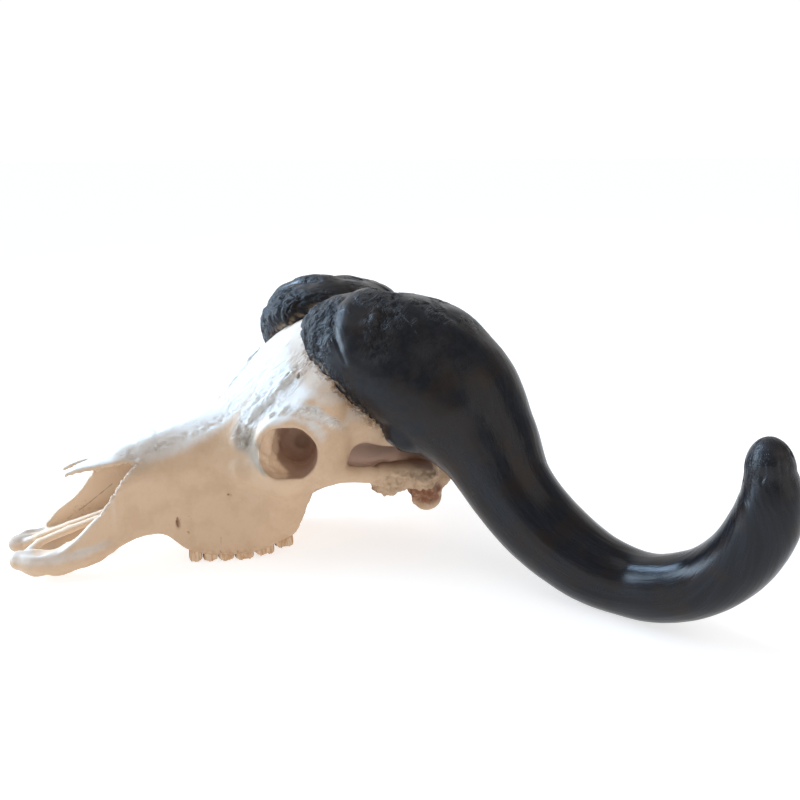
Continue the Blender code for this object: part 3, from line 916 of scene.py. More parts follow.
class Shapes:
    """Distances to simple shapes, from one point."""

    BALL = (("Point", Point), ("Centre", Point), ("Radii", Point), ("Turn", Point))
    BAR = (("Point", Point), ("Start", Point), ("End", Point), ("Start radius", float),
           ("End radius", float), ("Across", Point), ("Thin", float))

    def __init__(self, g: Graph, point: Value) -> None:
        """Readies the two kinds of shape for the point.

        Args:
            g: the tree in hand.
            point: where the distances are wanted.
        """
        self.g = g
        self.point = point
        self.ball_group = self._group("ball", self.BALL, self._ball_distance)
        self.bar_group = self._group("bar", self.BAR, self.bar_distance)

    @staticmethod
    def _group(name: str, inputs: Sequence[tuple], make: Callable[..., Value]) -> bpy.types.NodeTree:
        """A node group that gives the distance to one kind of shape.

        Args:
            name: the group's name.
            inputs: its inputs, each a name and a kind.
            make: builds the distance from the graph and the inputs.

        Returns:
            The group.
        """
        group = bpy.data.node_groups.new(name, "GeometryNodeTree")
        for label, kind in inputs:
            socket = "NodeSocketFloat" if kind is float else "NodeSocketVector"
            group.interface.new_socket(label, in_out="INPUT", socket_type=socket)
        group.interface.new_socket("Distance", in_out="OUTPUT", socket_type="NodeSocketFloat")
        inner = Graph(group)
        start = group.nodes.new("NodeGroupInput")
        distance = make(inner, *[Value(inner, socket) for socket in start.outputs[:len(inputs)]])
        group.links.new(distance.socket, group.nodes.new("NodeGroupOutput").inputs[0])
        return group

    @staticmethod
    def _ball_distance(g: Graph, point: Value, centre: Value, radii: Value, turn: Value) -> Value:
        """The distance to an ellipsoid, turned about its centre.

        Args:
            g: the tree in hand.
            point: where the distance is wanted.
            centre: the ellipsoid's centre.
            radii: its three radii.
            turn: its turn about each axis, in radians.

        Returns:
            The distance.
        """
        turned = g.value("ShaderNodeVectorRotate", {"rotation_type": "EULER_XYZ", "invert": True},
                         {"Vector": g.vector("SUBTRACT", point, centre), "Rotation": turn})
        scaled = g.vector("DIVIDE", turned, radii)
        steep = g.vector("LENGTH", g.vector("DIVIDE", scaled, radii))
        reach = g.vector("LENGTH", scaled)
        return reach * (reach - 1.0) / g.larger(steep, 0.00001)

    @staticmethod
    def bar_distance(g: Graph, point: Value, start: Value, end: Value, start_radius: Value,
                     end_radius: Value, across: Value, thin: Value) -> Value:
        """The distance to a tapered bar.

        Args:
            g: the tree in hand.
            point: where the distance is wanted.
            start: the middle of one end.
            end: the middle of the other.
            start_radius: the radius at the start.
            end_radius: the radius at the end.
            across: the direction in which the bar is squeezed.
            thin: how thick it is that way, as a share of the radius.

        Returns:
            The distance.
        """
        squeeze = 1.0 / thin - 1.0

        def stretch(offset: Value) -> Value:
            """The offset, stretched along across."""
            lift = g.vector("DOT_PRODUCT", offset, across) * squeeze
            return g.vector("ADD", offset, g.scaled(across, lift))

        away = stretch(g.vector("SUBTRACT", point, start))
        axis = stretch(g.vector("SUBTRACT", end, start))
        share = g.vector("DOT_PRODUCT", away, axis) / g.vector("DOT_PRODUCT", axis, axis)
        share = g.smaller(g.larger(share, 0.0), 1.0)
        gap = g.vector("LENGTH", g.vector("SUBTRACT", away, g.scaled(axis, share)))
        return gap - g.between(start_radius, end_radius, share)

    def ball(self, centre: Point, radii: Point, turn: Point = (0, 0, 0)) -> Value:
        """The distance to an ellipsoid turned by these degrees."""
        inputs = {0: self.point, 1: centre, 2: radii, 3: [math.radians(angle) for angle in turn]}
        return self.g.value("GeometryNodeGroup", {"node_tree": self.ball_group}, inputs)

    def bar(self, start: Point, end: Point, start_radius: float, end_radius: float,
            across: Point = (1, 0, 0), thin: float = 1.0) -> Value:
        """The distance to a tapered bar.

        Args:
            start: the middle of one end.
            end: the middle of the other.
            start_radius: the radius at the start.
            end_radius: the radius at the end.
            across: the direction in which the bar is squeezed.
            thin: how thick it is that way, as a share of the radius.

        Returns:
            The distance.
        """
        inputs = {0: self.point, 1: start, 2: end, 3: start_radius, 4: end_radius,
                  5: Vector(across).normalized(), 6: thin}
        return self.g.value("GeometryNodeGroup", {"node_tree": self.bar_group}, inputs)

    def rod(self, fillet: float, *stops: Stop, across: Point = (1, 0, 0), thin: float = 1.0) -> Value:
        """The distance to bars end to end through the stops, each a place and a radius."""
        bars = [self.bar(a, b, ra, rb, across, thin) for (a, ra), (b, rb) in zip(stops, stops[1:])]
        return self.g.fuse(fillet, *bars)

    def path(self, points: Sequence[Point]) -> Value:
        """The distance to a line through the points."""
        return self.rod(1.0, *[(point, 0.0) for point in points])


class BoneField:
    """The bone, as the distance from its surface; its left and right sides are alike."""

    def __init__(self, g: Graph) -> None:
        """Reads the point in hand.

        Args:
            g: the tree in hand.
        """
        self.g = g
        self.place, folded = folded_place(g, RIGHT_LEAD)
        self.side = g.parts(self.place)[0]
        self.out, self.along, self.height = g.parts(folded)
        self.shapes = Shapes(g, folded)
        self.roof = self.height - self._roof_height()
        self.flank = self.out - self._half_width()

    def _profile(self, points: dict[float, float]) -> Value:
        """A smooth curve through the points, read at the distance along the skull.

        Args:
            points: a value for each distance along the skull.

        Returns:
            The value at the point in hand.
        """
        curve = [(place / PROFILE_SPAN, value / PROFILE_RISE) for place, value in sorted(points.items())]
        return self.g.value("ShaderNodeFloatCurve", {"curve": curve},
                            {"Value": self.along / PROFILE_SPAN}) * PROFILE_RISE

    def _roof_height(self) -> Value:
        """The roof, which falls away from the midline to both sides."""
        outward = self.out / ROOF_FALL_REACH
        return self._profile(ROOF_HEIGHT) - self._profile(ROOF_FALL) * outward * outward

    def _half_width(self) -> Value:
        """The wall: the width at the teeth blends into the width under the roof."""
        share = self.g.rise(self.height, 15.0, 125.0)
        return self.g.between(self._profile(ALVEOLAR_HALF), self._profile(UPPER_HALF), share)

    def build(self) -> Value:
        """All the bone, less its hollows.

        Returns:
            The distance from its surface.
        """
        g = self.g
        bone = g.fuse(9.0, self.face(), self.cranium())
        bone = g.fuse(14.0, bone, self.orbit_rim())
        bone = g.fuse(7.0, bone, self.brow())
        bone = g.carve(bone, self.tear_hollow(), 7.0)
        bone = g.carve(bone, self.temporal_hollow(), 4.0)
        bone = g.fuse(5.0, bone, self.cheek_arch(), self.skull_base())
        bone = g.carve(bone, self.orbit_hollow(), 2.0)
        bone = g.carve(bone, self.brain_opening(), 3.0)
        bone = g.carve(bone, self.nasal_hollow(), 1.5)
        bone = g.carve(bone, self.nose_opening(), 1.0)
        bone = g.fuse(3.0, bone, self.nasal_bones())
        bone = g.fuse(5.0, bone, self.premaxillae())
        return g.carve(bone, self.small_openings(), 1.0)

    def face(self) -> Value:
        """The long box of the muzzle, from the nose opening to the back of the tooth rows.

        Returns:
            The distance from its surface.
        """
        g = self.g
        behind = self.along - 311.0 - self.height * 0.36
        box = g.meet(9.0, self.roof * 0.8, self.flank, behind)
        box = g.meet(5.0, box, self._profile(UNDERSIDE) - self.height, 46.0 - self.along)
        palate = self.shapes.rod(
            12.0, ((0, 90, -8), 40), ((0, 190, -12), 44), ((0, 260, -6), 46), ((0, 350, 0), 48))
        return g.carve(box, palate, 5.0)

    def cranium(self) -> Value:
        """The forehead, the seats of the horns and the case of the brain.

        Returns:
            The distance from its surface.
        """
        g = self.g
        shoulder = g.meet(70.0, self.roof * 0.95, self.flank)
        broad = g.meet(26.0, shoulder, 128.0 - self.height, 255.0 - self.along, self.along - 532.0)
        case = self.shapes.ball((0, 432, 148), (68, 100, 66))
        nape = self.shapes.ball((0, 488, 130), (92, 40, 84))
        front = self.shapes.ball((0, 350, 130), (50, 70, 60))
        return g.fuse(14.0, broad, case, nape, front)

    def orbit_rim(self) -> Value:
        """The tube round the eye, which stands out from the face.

        Returns:
            The distance from its surface.
        """
        tube = self.shapes.bar((52, 321, 134), (98, 307, 140.5), 50, 39.5)
        lip = self.g.meet(12.0, tube, self.eye_plane() - 1.2)
        bar = self.shapes.rod(10.0, ((99, 347, 116), 18), ((100, 351, 150), 18), ((96, 356, 185), 20))
        rear = self.shapes.rod(10.0, ((97, 360, 116), 16), ((97, 364, 150), 17))
        temple = self.shapes.rod(10.0, ((95, 362, 160), 19), ((92, 384, 166), 18), ((92, 410, 164), 17))
        cheek = self.shapes.rod(
            10.0, ((60, 262, 108), 16), ((84, 300, 101), 20), ((94, 350, 109), 18.5))
        return self.g.fuse(22.0, lip, self.g.fuse(14.0, bar, rear, temple, cheek))

    def eye_plane(self) -> Value:
        """The plane of the eye's opening, which looks out, a little ahead and up.

        Returns:
            The distance ahead of the plane.
        """
        facing = Vector(EYE_FACING)
        reach = self.g.vector("DOT_PRODUCT", self.shapes.point, facing)
        return reach - facing.dot(Vector(EYE_CENTRE))

    def brow(self) -> Value:
        """The ridge that arches over the eye, and the crest that climbs from it to the forehead.

        Returns:
            The distance from its surface.
        """
        arch = self.shapes.rod(4.0, *[(point, 4.6) for point in BROW])
        crest = self.shapes.rod(4.0, *[(point, radius) for point, radius in zip(
            RUGGED_CREST, (2.0, 3.2, 4.2, 4.5, 4.0, 3.0))])
        return self.g.fuse(4.0, arch, crest)

    def tear_hollow(self) -> Value:
        """The shallow dip in the face ahead of the eye."""
        return self.shapes.rod(
            6.0, ((58, 251, 163), 7), ((75, 257, 149), 12.5), ((92, 262, 136), 11.5), ((106, 270, 122), 6))

    def orbit_hollow(self) -> Value:
        """The eye's socket, which narrows to the nerve's canal.

        Returns:
            The distance from its surface.
        """
        socket = self.shapes.rod(
            4.0, ((150, 293, 142), 36), ((107, 305.5, 138.5), 32), ((88, 317, 140), 26.5),
            ((72, 324, 139), 23), ((56, 333, 134), 8))
        corner = self.along * 0.711 + self.height * 0.703 - 344.5
        return self.g.meet(5.0, socket, self.height - 167.5, 110.0 - self.height, corner)

    def temporal_hollow(self) -> Value:
        """The deep pit behind the eye, open below, and its gap above the cheek arch.

        Returns:
            The distance from its surface.
        """
        rod = self.shapes.rod
        pit = rod(8.0, ((82, 390, 60), 17), ((82, 392, 118), 18))
        back = rod(8.0, ((84, 392, 112), 19), ((86, 455, 108), 15))
        below = rod(8.0, ((82, 385, 40), 22), ((84, 420, 40), 20))
        gap = rod(6.0, ((118, 398, 125), 17.5), ((120, 430, 119), 14), ((120, 478, 106), 11))
        inner = rod(6.0, ((92, 396, 125), 17), ((92, 430, 119), 13), ((96, 478, 106), 11))
        return self.g.fuse(8.0, pit, back, below, gap, inner)

    def cheek_arch(self) -> Value:
        """The arch from the cheek under the eye to the jaw joint.

        Returns:
            The distance from its surface.
        """
        arch = self.shapes.rod(
            6.0, ((101, 338, 104), 11), ((106, 372, 105), 9.5), ((106, 400, 101), 10),
            ((102, 424, 92), 13), ((88, 446, 90), 15), thin=0.65)
        joint = self.shapes.ball((88, 427, 82), (24, 17, 15))
        root = self.shapes.rod(8.0, ((100, 420, 98), 13), ((97, 446, 92), 16), ((86, 476, 84), 18))
        return self.g.fuse(6.0, arch, joint, root)

    def skull_base(self) -> Value:
        """The underside of the braincase, the condyles and the processes beside them.

        Returns:
            The distance from its surface.
        """
        rod = self.shapes.rod
        base = rod(10.0, ((0, 330, 84), 22), ((0, 400, 86), 24), ((0, 492, 62), 24))
        condyle = self.shapes.ball((27, 503, 52), (20, 21, 25))
        process = rod(6.0, ((70, 482, 86), 22), ((63, 491, 47), 19))
        behind = self.shapes.ball((58, 505, 78), (26, 20, 24))
        wing = rod(6.0, ((24, 322, 66), 7), ((22, 350, 59), 6), ((24, 398, 78), 8), thin=0.7)
        return self.g.fuse(8.0, base, condyle, process, behind, wing)

    def brain_opening(self) -> Value:
        """The hole at the back of the skull, between the condyles."""
        return self.shapes.bar((0, 470, 84), (0, 560, 80), 15, 21)

    def nasal_hollow(self) -> Value:
        """The airway behind the nose opening.

        Returns:
            The distance from its surface.
        """
        wall = 6.0 + self.g.rise(self.height, 90.0, 20.0) * 5.0
        floor = self._profile(AIRWAY_FLOOR) - self.height
        return self.g.meet(8.0, self.roof * 0.8 + 7.0, self.flank + wall, self.out - 40.0, floor,
                           self.along - 275.0, 30.0 - self.along)

    def nose_opening(self) -> Value:
        """What is missing above the sloping edges of the nose opening, and between the bones below.

        Returns:
            The distance from its surface.
        """
        g = self.g
        left = g.rise(self.side, -1.0, 1.0)
        edge = g.between(self._profile(RIGHT_NOSE_EDGE), self._profile(LEFT_NOSE_EDGE), left)
        ragged = g.swell(self.along, 92.0, 104.0) * g.swell(self.height, 112.0, 104.0)
        notches = (g.noise(self.place, 4.5, 2.0) - 0.5) * ragged * 12.0
        above = g.meet(1.5, (edge + notches - self.height) * 0.7, self.along - 150.0)
        slot = self.shapes.rod(4.0, ((0, 20, 20), 12), ((0, 60, 20), 30), ((0, 108, 30), 27))
        return g.smaller(above, slot)

    def nasal_bones(self) -> Value:
        """Two vaulted plates that run forward to a pointed tip each.

        Returns:
            The distance from its surface.
        """
        g = self.g
        plate = g.meet(1.0, self.roof * 0.8, 0.0 - self._profile(NASAL_THICKNESS) - self.roof * 0.8)
        outer = self.out - self._profile(NASAL_OUTER_HALF)
        inner = self._profile(NASAL_INNER_HALF) - self.out
        return g.meet(1.2, plate, outer, inner, 69.0 - self.along, self.along - 170.0)

    def premaxillae(self) -> Value:
        """The two bones at the front of the upper jaw, with their prongs towards the palate.

        Returns:
            The distance from its surface.
        """
        lobe = self.shapes.rod(
            8.0, ((24, 13, 21), 11), ((32, 30, 19), 14.5), ((37, 52, 18), 13.5), ((40, 80, 22), 11),
            ((41, 108, 31), 9))
        dish = self.shapes.rod(
            5.0, ((28, 12, 42), 11), ((34, 34, 45), 16), ((33, 60, 46), 14), ((31, 90, 52), 9))
        lobe = self.g.carve(lobe, dish, 4.0)
        prong = self.shapes.rod(
            4.0, ((17, 22, 25), 6), ((8, 36, 33), 5.4), ((6, 70, 43), 5.6), ((6, 120, 56), 5.6),
            across=(0, 0, 1), thin=0.7)
        return self.g.fuse(4.0, lobe, prong)

    def small_openings(self) -> Value:
        """The small holes of the bone."""
        return self.g.smaller(*[self.shapes.ball(*hole) for hole in SMALL_HOLES])


@dataclass(frozen=True)
class Zones:
    """Where each kind of surface lies on the bone, from 0 to 1."""

    rugged: Value
    fringe: Value
    band: Value
    socket: Value
    eye: Value
    temple: Value
    airway: Value
    ear: Value
    seam: Value
    nose_rim: Value
    gums: Value
    rear: Value
    nape: Value
    smooth: Value


@dataclass
class Bone:
    """The skull's bone, one piece that grew together."""

    finish: BoneFinish = field(default_factory=BoneFinish)
    voxel: float = 1.8
    quick_voxel: float = 2.6
    triangles: int = 184_000
    unevenness: float = 1.2
    rugged_height: float = 2.4
    fringe_height: float = 1.3
    low: Point = (-126.0, -4.0, -2.0)
    high: Point = (126.0, 546.0, 300.0)

    def build(self, horns: Sequence[bpy.types.Object], sockets: bpy.types.Object) -> bpy.types.Object:
        """Builds and dresses the bone.

        Args:
            horns: the left and the right horn, which mark its edge.
            sockets: the shape of the teeth's sockets.

        Returns:
            The bone.
        """
        made = new_object("bone", bpy.data.meshes.new("bone"))
        material = self.finish.material()
        self._form(material).apply(made)
        largest_body(made.data)
        count = triangle_count(made)
        if count > self.triangles:
            thin = made.modifiers.new("Fewer faces", "DECIMATE")
            thin.ratio = self.triangles / count
            settle(made)
        cut(made, sockets)
        self._surface(material, horns).apply(made)
        dress(made, material)
        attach(made, ROOT_BODY)
        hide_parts("skull")
        return made

    def _form(self, material: bpy.types.Material) -> Form:
        """The tree that makes the bone's shape.

        Args:
            material: the bone's material.

        Returns:
            The tree.
        """
        voxel = self.voxel * MM
        origin = (0, NOSE_TO_ORIGIN, 0)
        low, high = ([(value - zero) * MM for value, zero in zip(corner, origin)]
                     for corner in (self.low, self.high))
        cells = [round((b - a) / voxel) + 1 for a, b in zip(low, high)]
        form = Form("bone_form", {"Cells across": cells[0], "Cells along": cells[1], "Cells up": cells[2]},
                    material)
        inside = 0.0 - BoneField(form).build()
        cube = form.value("GeometryNodeVolumeCube", {}, {
            "Density": inside, "Background": -1.0, "Min": low, "Max": high,
            "Resolution X": form.given("Cells across"), "Resolution Y": form.given("Cells along"),
            "Resolution Z": form.given("Cells up")})
        form.close(form.value("GeometryNodeVolumeToMesh", {}, {"Volume": cube, "Threshold": 0.0}))
        return form

    def _surface(self, material: bpy.types.Material, horns: Sequence[bpy.types.Object]) -> Form:
        """The tree that gives the bone its relief, and marks where each finish goes.

        Args:
            material: the bone's material.
            horns: the left and the right horn, which mark its edge.

        Returns:
            The tree.
        """
        g = Form("bone_surface", {
            "Unevenness": self.unevenness, "Rugged height": self.rugged_height,
            "Fringe height": self.fringe_height, "Left horn": horns[0], "Right horn": horns[1]}, material)
        bone = BoneField(g)
        zones = self._zones(g, bone)
        mesh = g.raised(g.given("Mesh"), self._height(g, bone, zones))
        for name, amount in self._finish_marks(g, bone, zones).items():
            mesh = g.keep(mesh, name, amount)
        g.close(mesh)
        return g

    def _zones(self, g: Form, bone: BoneField) -> Zones:
        """Finds each kind of surface.

        Args:
            g: the tree in hand.
            bone: the bone's distances.

        Returns:
            How far each point belongs to each kind.
        """
        place, shapes = bone.place, bone.shapes
        near_horn = self._from_horns(g)
        socket = g.swell(bone.orbit_hollow(), 2.6, 0.4) * g.swell(bone.eye_plane(), 0.5, -2.0)
        # The eye zone is the socket beyond its lit front wall, and it gets painted shade; the front wall
        # before it gets painted light
        front_wall = bone.along * 0.935 + bone.out * 0.355 - g.swell(bone.height, 124.0, 108.0) * 14.0
        eye = socket * g.swell(front_wall + (g.noise(place, 12.0) - 0.5) * 5.0, 305.0, 309.0)
        # The temple zone, which is the pit behind the eye and the walls behind it, gets painted shade
        pit = g.swell(bone.temporal_hollow(), 4.0, 0.5) * g.swell(bone.out, 112.0, 96.0)
        behind = g.swell(shapes.ball((50, 425, 112), (52, 76, 40)), 8.0, -2.0) * g.swell(bone.out, 98.0, 88.0)
        temple = g.larger(pit, behind)
        airway = g.swell(bone.nasal_hollow(), 3.0, 0.5)
        rim = g.swell(shapes.path(NOSE_RIM) + (g.noise(place, 5.0) - 0.5) * 2.0, 4.5, 2.5)
        gums = g.swell(bone.height, 20.0, 9.0) * g.swell(bone.along, 188.0, 200.0)
        back_edge = g.math("ABSOLUTE", bone.along - 311.0 - bone.height * 0.36)
        rear = g.swell(back_edge, 9.0, 2.0) * g.swell(bone.height, 92.0, 76.0)
        return Zones(
            rugged=self._rugged(g, bone),
            fringe=g.swell(near_horn + (g.noise(place, 14.0, 3.0) - 0.5) * 14.0, 9.0, 2.0),
            band=g.swell(near_horn + (g.noise(place, 22.0) - 0.5) * 14.0, 30.0, 18.0),
            socket=socket,
            eye=eye,
            temple=temple,
            airway=airway,
            ear=g.larger(g.swell(shapes.ball((84, 470, 66), (42, 34, 34)), 8.0, -8.0),
                         g.swell(shapes.ball((104, 432, 80), (34, 34, 18)), 8.0, -4.0)),
            seam=g.swell(shapes.path(NASAL_SEAM) + (g.noise(place, 9.0) - 0.5) * 5.0, 5.5, 1.5),
            nose_rim=rim * g.swell(bone.nose_opening(), 5.0, 1.5),
            gums=gums * g.swell(bone.along, 330.0, 316.0) * g.swell(bone.out, 44.0, 50.0),
            rear=rear * g.swell(bone.out, 40.0, 50.0),
            nape=g.swell(bone.along, 498.0, 512.0),
            smooth=g.larger(eye, airway, temple))

    @staticmethod
    def _height(g: Form, bone: BoneField, zones: Zones) -> Value:
        """The relief.

        Args:
            g: the tree in hand.
            bone: the bone's distances.
            zones: where each kind of surface lies.

        Returns:
            How far each point moves out, in millimetres.
        """
        place = bone.place
        combed = combed_place(g, place)
        streaks = g.swell(g.noise(combed, 6.0, 3.0, 0.6, 0.5), 0.34, 0.66)
        combs = g.noise(g.vector("MULTIPLY", combed, (1.0, 0.7, 1.0)), 4.4, 2.0, 0.5, 0.4)
        upright = g.vector("MULTIPLY", place, (1.0, 1.0, 0.4))
        # Each layer: a pattern, its middle level, where it lies and how high it is
        layers = (
            (g.noise(place, 42.0), 0.5, 1.0, 2.4),
            (streaks, 0.55, zones.rugged, g.given("Rugged height")),
            (g.swell(combs, 0.34, 0.58), 0.6, zones.rugged, 1.3),
            (g.swell(g.noise(place, 5.0, 3.0, 0.6), 0.32, 0.6), 0.6, zones.fringe, g.given("Fringe height")),
            (g.swell(g.noise(place, 4.5), 0.38, 0.62), 0.6, zones.seam, 3.0),
            (g.swell(g.noise(place, 10.0, 4.0, 0.62), 0.3, 0.7), 0.5, zones.ear, 6.5),
            (g.noise(place, 5.0), 0.42, zones.nose_rim, 7.0),
            (g.noise(place, 6.0, 3.0, 0.65), 0.42, g.larger(zones.gums, zones.rear * 0.8), 7.0),
            (g.noise(upright, 6.0, 3.0), 0.5, zones.nape, 4.0),
            (g.noise(place, 17.0, 3.0, 0.6), 0.5, zones.socket, 9.0),
        )
        height = (g.noise(place, 14.0) - 0.5) * g.given("Unevenness")
        for pattern, level, zone, depth in layers:
            height = height + (pattern - level) * zone * depth
        midline = g.swell(bone.out, 2.2, 0.2) * g.swell(bone.roof, -12.0, -3.0)
        height = height - midline * g.swell(bone.along, 350.0, 300.0) * 0.9
        return height * (1.0 - zones.smooth * 0.6)

    @staticmethod
    def _finish_marks(g: Form, bone: BoneField, zones: Zones) -> dict[str, Value]:
        """Where each part of the finish goes.

        Args:
            g: the tree in hand.
            bone: the bone's distances.
            zones: where each kind of surface lies.

        Returns:
            The numbers that the material reads, by name.
        """
        place, shapes = bone.place, bone.shapes
        # Faces that look up, on the top and the muzzle, are made paler: partly real bleaching, partly painted
        # light from above
        upward = g.parts(g.value("GeometryNodeInputNormal"))[2]
        high = g.swell(upward + (g.noise(place, 20.0, 3.0) - 0.5) * 0.5, 0.1, 0.6)
        above = g.larger(g.swell(bone.out, 40.0, 30.0), g.swell(bone.along, 268.0, 292.0))
        crown = high * above * g.swell(bone.height - bone.along * 0.1, 96.0, 112.0)
        muzzle = g.swell(upward, 0.0, 0.5) * g.swell(bone.along, 135.0, 80.0)
        # Painted shade: grey in the dip ahead of the eye, on the nasal bones beside their seam and in the far
        # premaxilla's dish
        beside_seam = g.swell(shapes.path(NASAL_SEAM), 22.0, 8.0) * g.swell(bone.along, 215.0, 180.0)
        far_dish = g.swell(bone.side, -12.0, -26.0) * g.swell(bone.along, 70.0, 45.0)
        dusty = g.larger(g.swell(bone.tear_hollow(), 12.0, 2.0), beside_seam * 0.3, far_dish * 0.55)
        # Paler bone: the rugged bone, which is really paler, and the painted light on faces that look up
        light = g.larger(crown, muzzle * 0.5, zones.rugged)
        bleached = light * (1.0 - dusty) * (1.0 - zones.band * 0.55) * (1.0 - zones.smooth)
        # Painted shade in the nerve's canal and in the small holes
        nerve = g.swell(shapes.ball((56, 334, 133), (10, 10, 8)), 4.0, -3.0) * 0.45
        holes = g.swell(bone.small_openings(), 0.3, -0.7)
        return {
            "dusty": dusty,
            # Painted light: the airway's far wall and the lit front wall of the eye socket
            "walled": g.larger(zones.airway, zones.socket - zones.eye),
            # Paler: real bleaching, painted light on faces that look up, and a pale band along the nose rim
            "bleached": g.larger(bleached, zones.nose_rim * 0.22),
            "rugged": g.larger(zones.rugged, zones.fringe, zones.ear * 0.3, zones.nape * 0.6),
            "crust": g.larger(zones.fringe, zones.gums * 0.6, zones.nape * 0.5),
            # Painted shade: brown deep in the eye socket and in the temple pit
            "hollow": g.larger(zones.eye * 0.86, zones.temple),
            "stain": g.swell(shapes.ball((72, 486, 56), (34, 26, 15)), 4.0, -5.0),
            "polished": g.swell(bone.roof, -14.0, -4.0) * g.swell(bone.along, 250.0, 215.0),
            # Painted shade: dark in the small holes, the nerve's canal and the temple pit
            "line": g.larger(holes, nerve, zones.temple * 0.45),
        }

    @staticmethod
    def _rugged(g: Graph, bone: BoneField) -> Value:
        """How rough the bone is: most on the forehead, the crest over the eye and the brow.

        Args:
            g: the tree in hand.
            bone: the bone's distances.

        Returns:
            How rough each point is, from 0 to 1.
        """
        ball = bone.shapes.ball
        crest = g.swell(bone.shapes.path(RUGGED_CREST), 24.0, 8.0)
        brow = g.swell(bone.shapes.path(BROW), 10.0, 5.0)
        forehead = g.swell(ball((26, 300, 205), (56, 62, 44)), 14.0, -6.0)
        return g.smaller(crest + brow * 0.8 + forehead * 0.5, 1.0)

    @staticmethod
    def _from_horns(g: Form) -> Value:
        """The distance to the nearer horn, in millimetres.

        Args:
            g: the tree in hand.

        Returns:
            The distance.
        """
        gaps = []
        for name in ("Left horn", "Right horn"):
            horn = g.value("GeometryNodeObjectInfo", {}, {"Object": g.given(name)}, "Geometry")
            gaps.append(g.value("GeometryNodeProximity", {"target_element": "FACES"}, {0: horn}, "Distance"))
        return g.smaller(*gaps) / MM


# ---- The horns ----


# One horn, from its end beside the midline to its tip: centre (x, along, height), half length
# of the section from front to back, half thickness, and how far its front edge dips
HORN_STATIONS = np.array((
    (14, 406, 262, 60, 31, -6),
    (40, 412, 260, 79, 46, -4),
    (70, 424, 251, 86, 58, 0),
    (97, 446, 235, 86, 63, 10),
    (121, 474, 209, 82, 66, 27),
    (145, 502, 178, 73, 66, 42),
    (172, 520, 145, 58, 54.5, 53),
    (204, 535, 102, 48, 46, 60),
    (243, 556, 66, 44, 42, 60),
    (291, 580, 43, 39.5, 39.5, 60),
    (332, 605, 35, 35.5, 35.5, 60),
    (370, 621, 43, 33.5, 34, 60),
    (407, 641, 65, 32, 32.5, 60),
    (433, 654, 97, 31.5, 32, 60),
    (449, 661, 133, 30.5, 31, 60),
    (454, 663, 162, 28, 28.5, 60),
    (451, 661, 189, 22, 23, 60),
), dtype=float)
# At each station: how much fuller the top is, how much the front edge draws back, and how much
# fuller the back edge is
TOP_SWELL = (5.0, 5.0, 6.5, 7.5, 8.0, 7.0, 5.0, 2.5, 1.0, 0.5, 1.0, 1.5, 1.0, 0.5, 0.5, 0.5, 0.5)
FRONT_TRIM = (0.0, 1.0, 5.0, 8.5, 5.0, 0.0, -1.5, -2.0, -2.5, -2.0, -1.0, -1.0, -1.0, 0.0, 0.0, 0.0, 0.0)
BACK_SWELL = (0.0, 0.0, 1.0, 2.5, 3.5, 3.5, 1.5, 0.0, 0.0, 0.0, 0.0, 0.0, 1.5, 2.5, 2.5, 1.0, 0.0)
# The smooth lobe of the boss: the crease before it, and the broken scar behind it
LOBE_FRONT = (
    (52, 402, 305), (65, 389.7, 302), (85.8, 370.6, 292), (97.9, 361.6, 278.5), (112.6, 361.9, 265.6),
    (122.5, 362.8, 255.3), (129.4, 367.2, 243.1),
)
LOBE = (
    ((64, 416, 306), 15), ((85, 407, 299), 21), ((105, 394, 288), 26), ((117, 386, 272), 22),
    ((127, 380, 256), 15), ((131, 376, 243), 8),
)
LOBE_BACK = (
    (75, 430, 308), (104, 424, 298), (123.4, 418.1, 287.1), (129.4, 406.6, 278.9), (140.7, 397.5, 260.7),
)


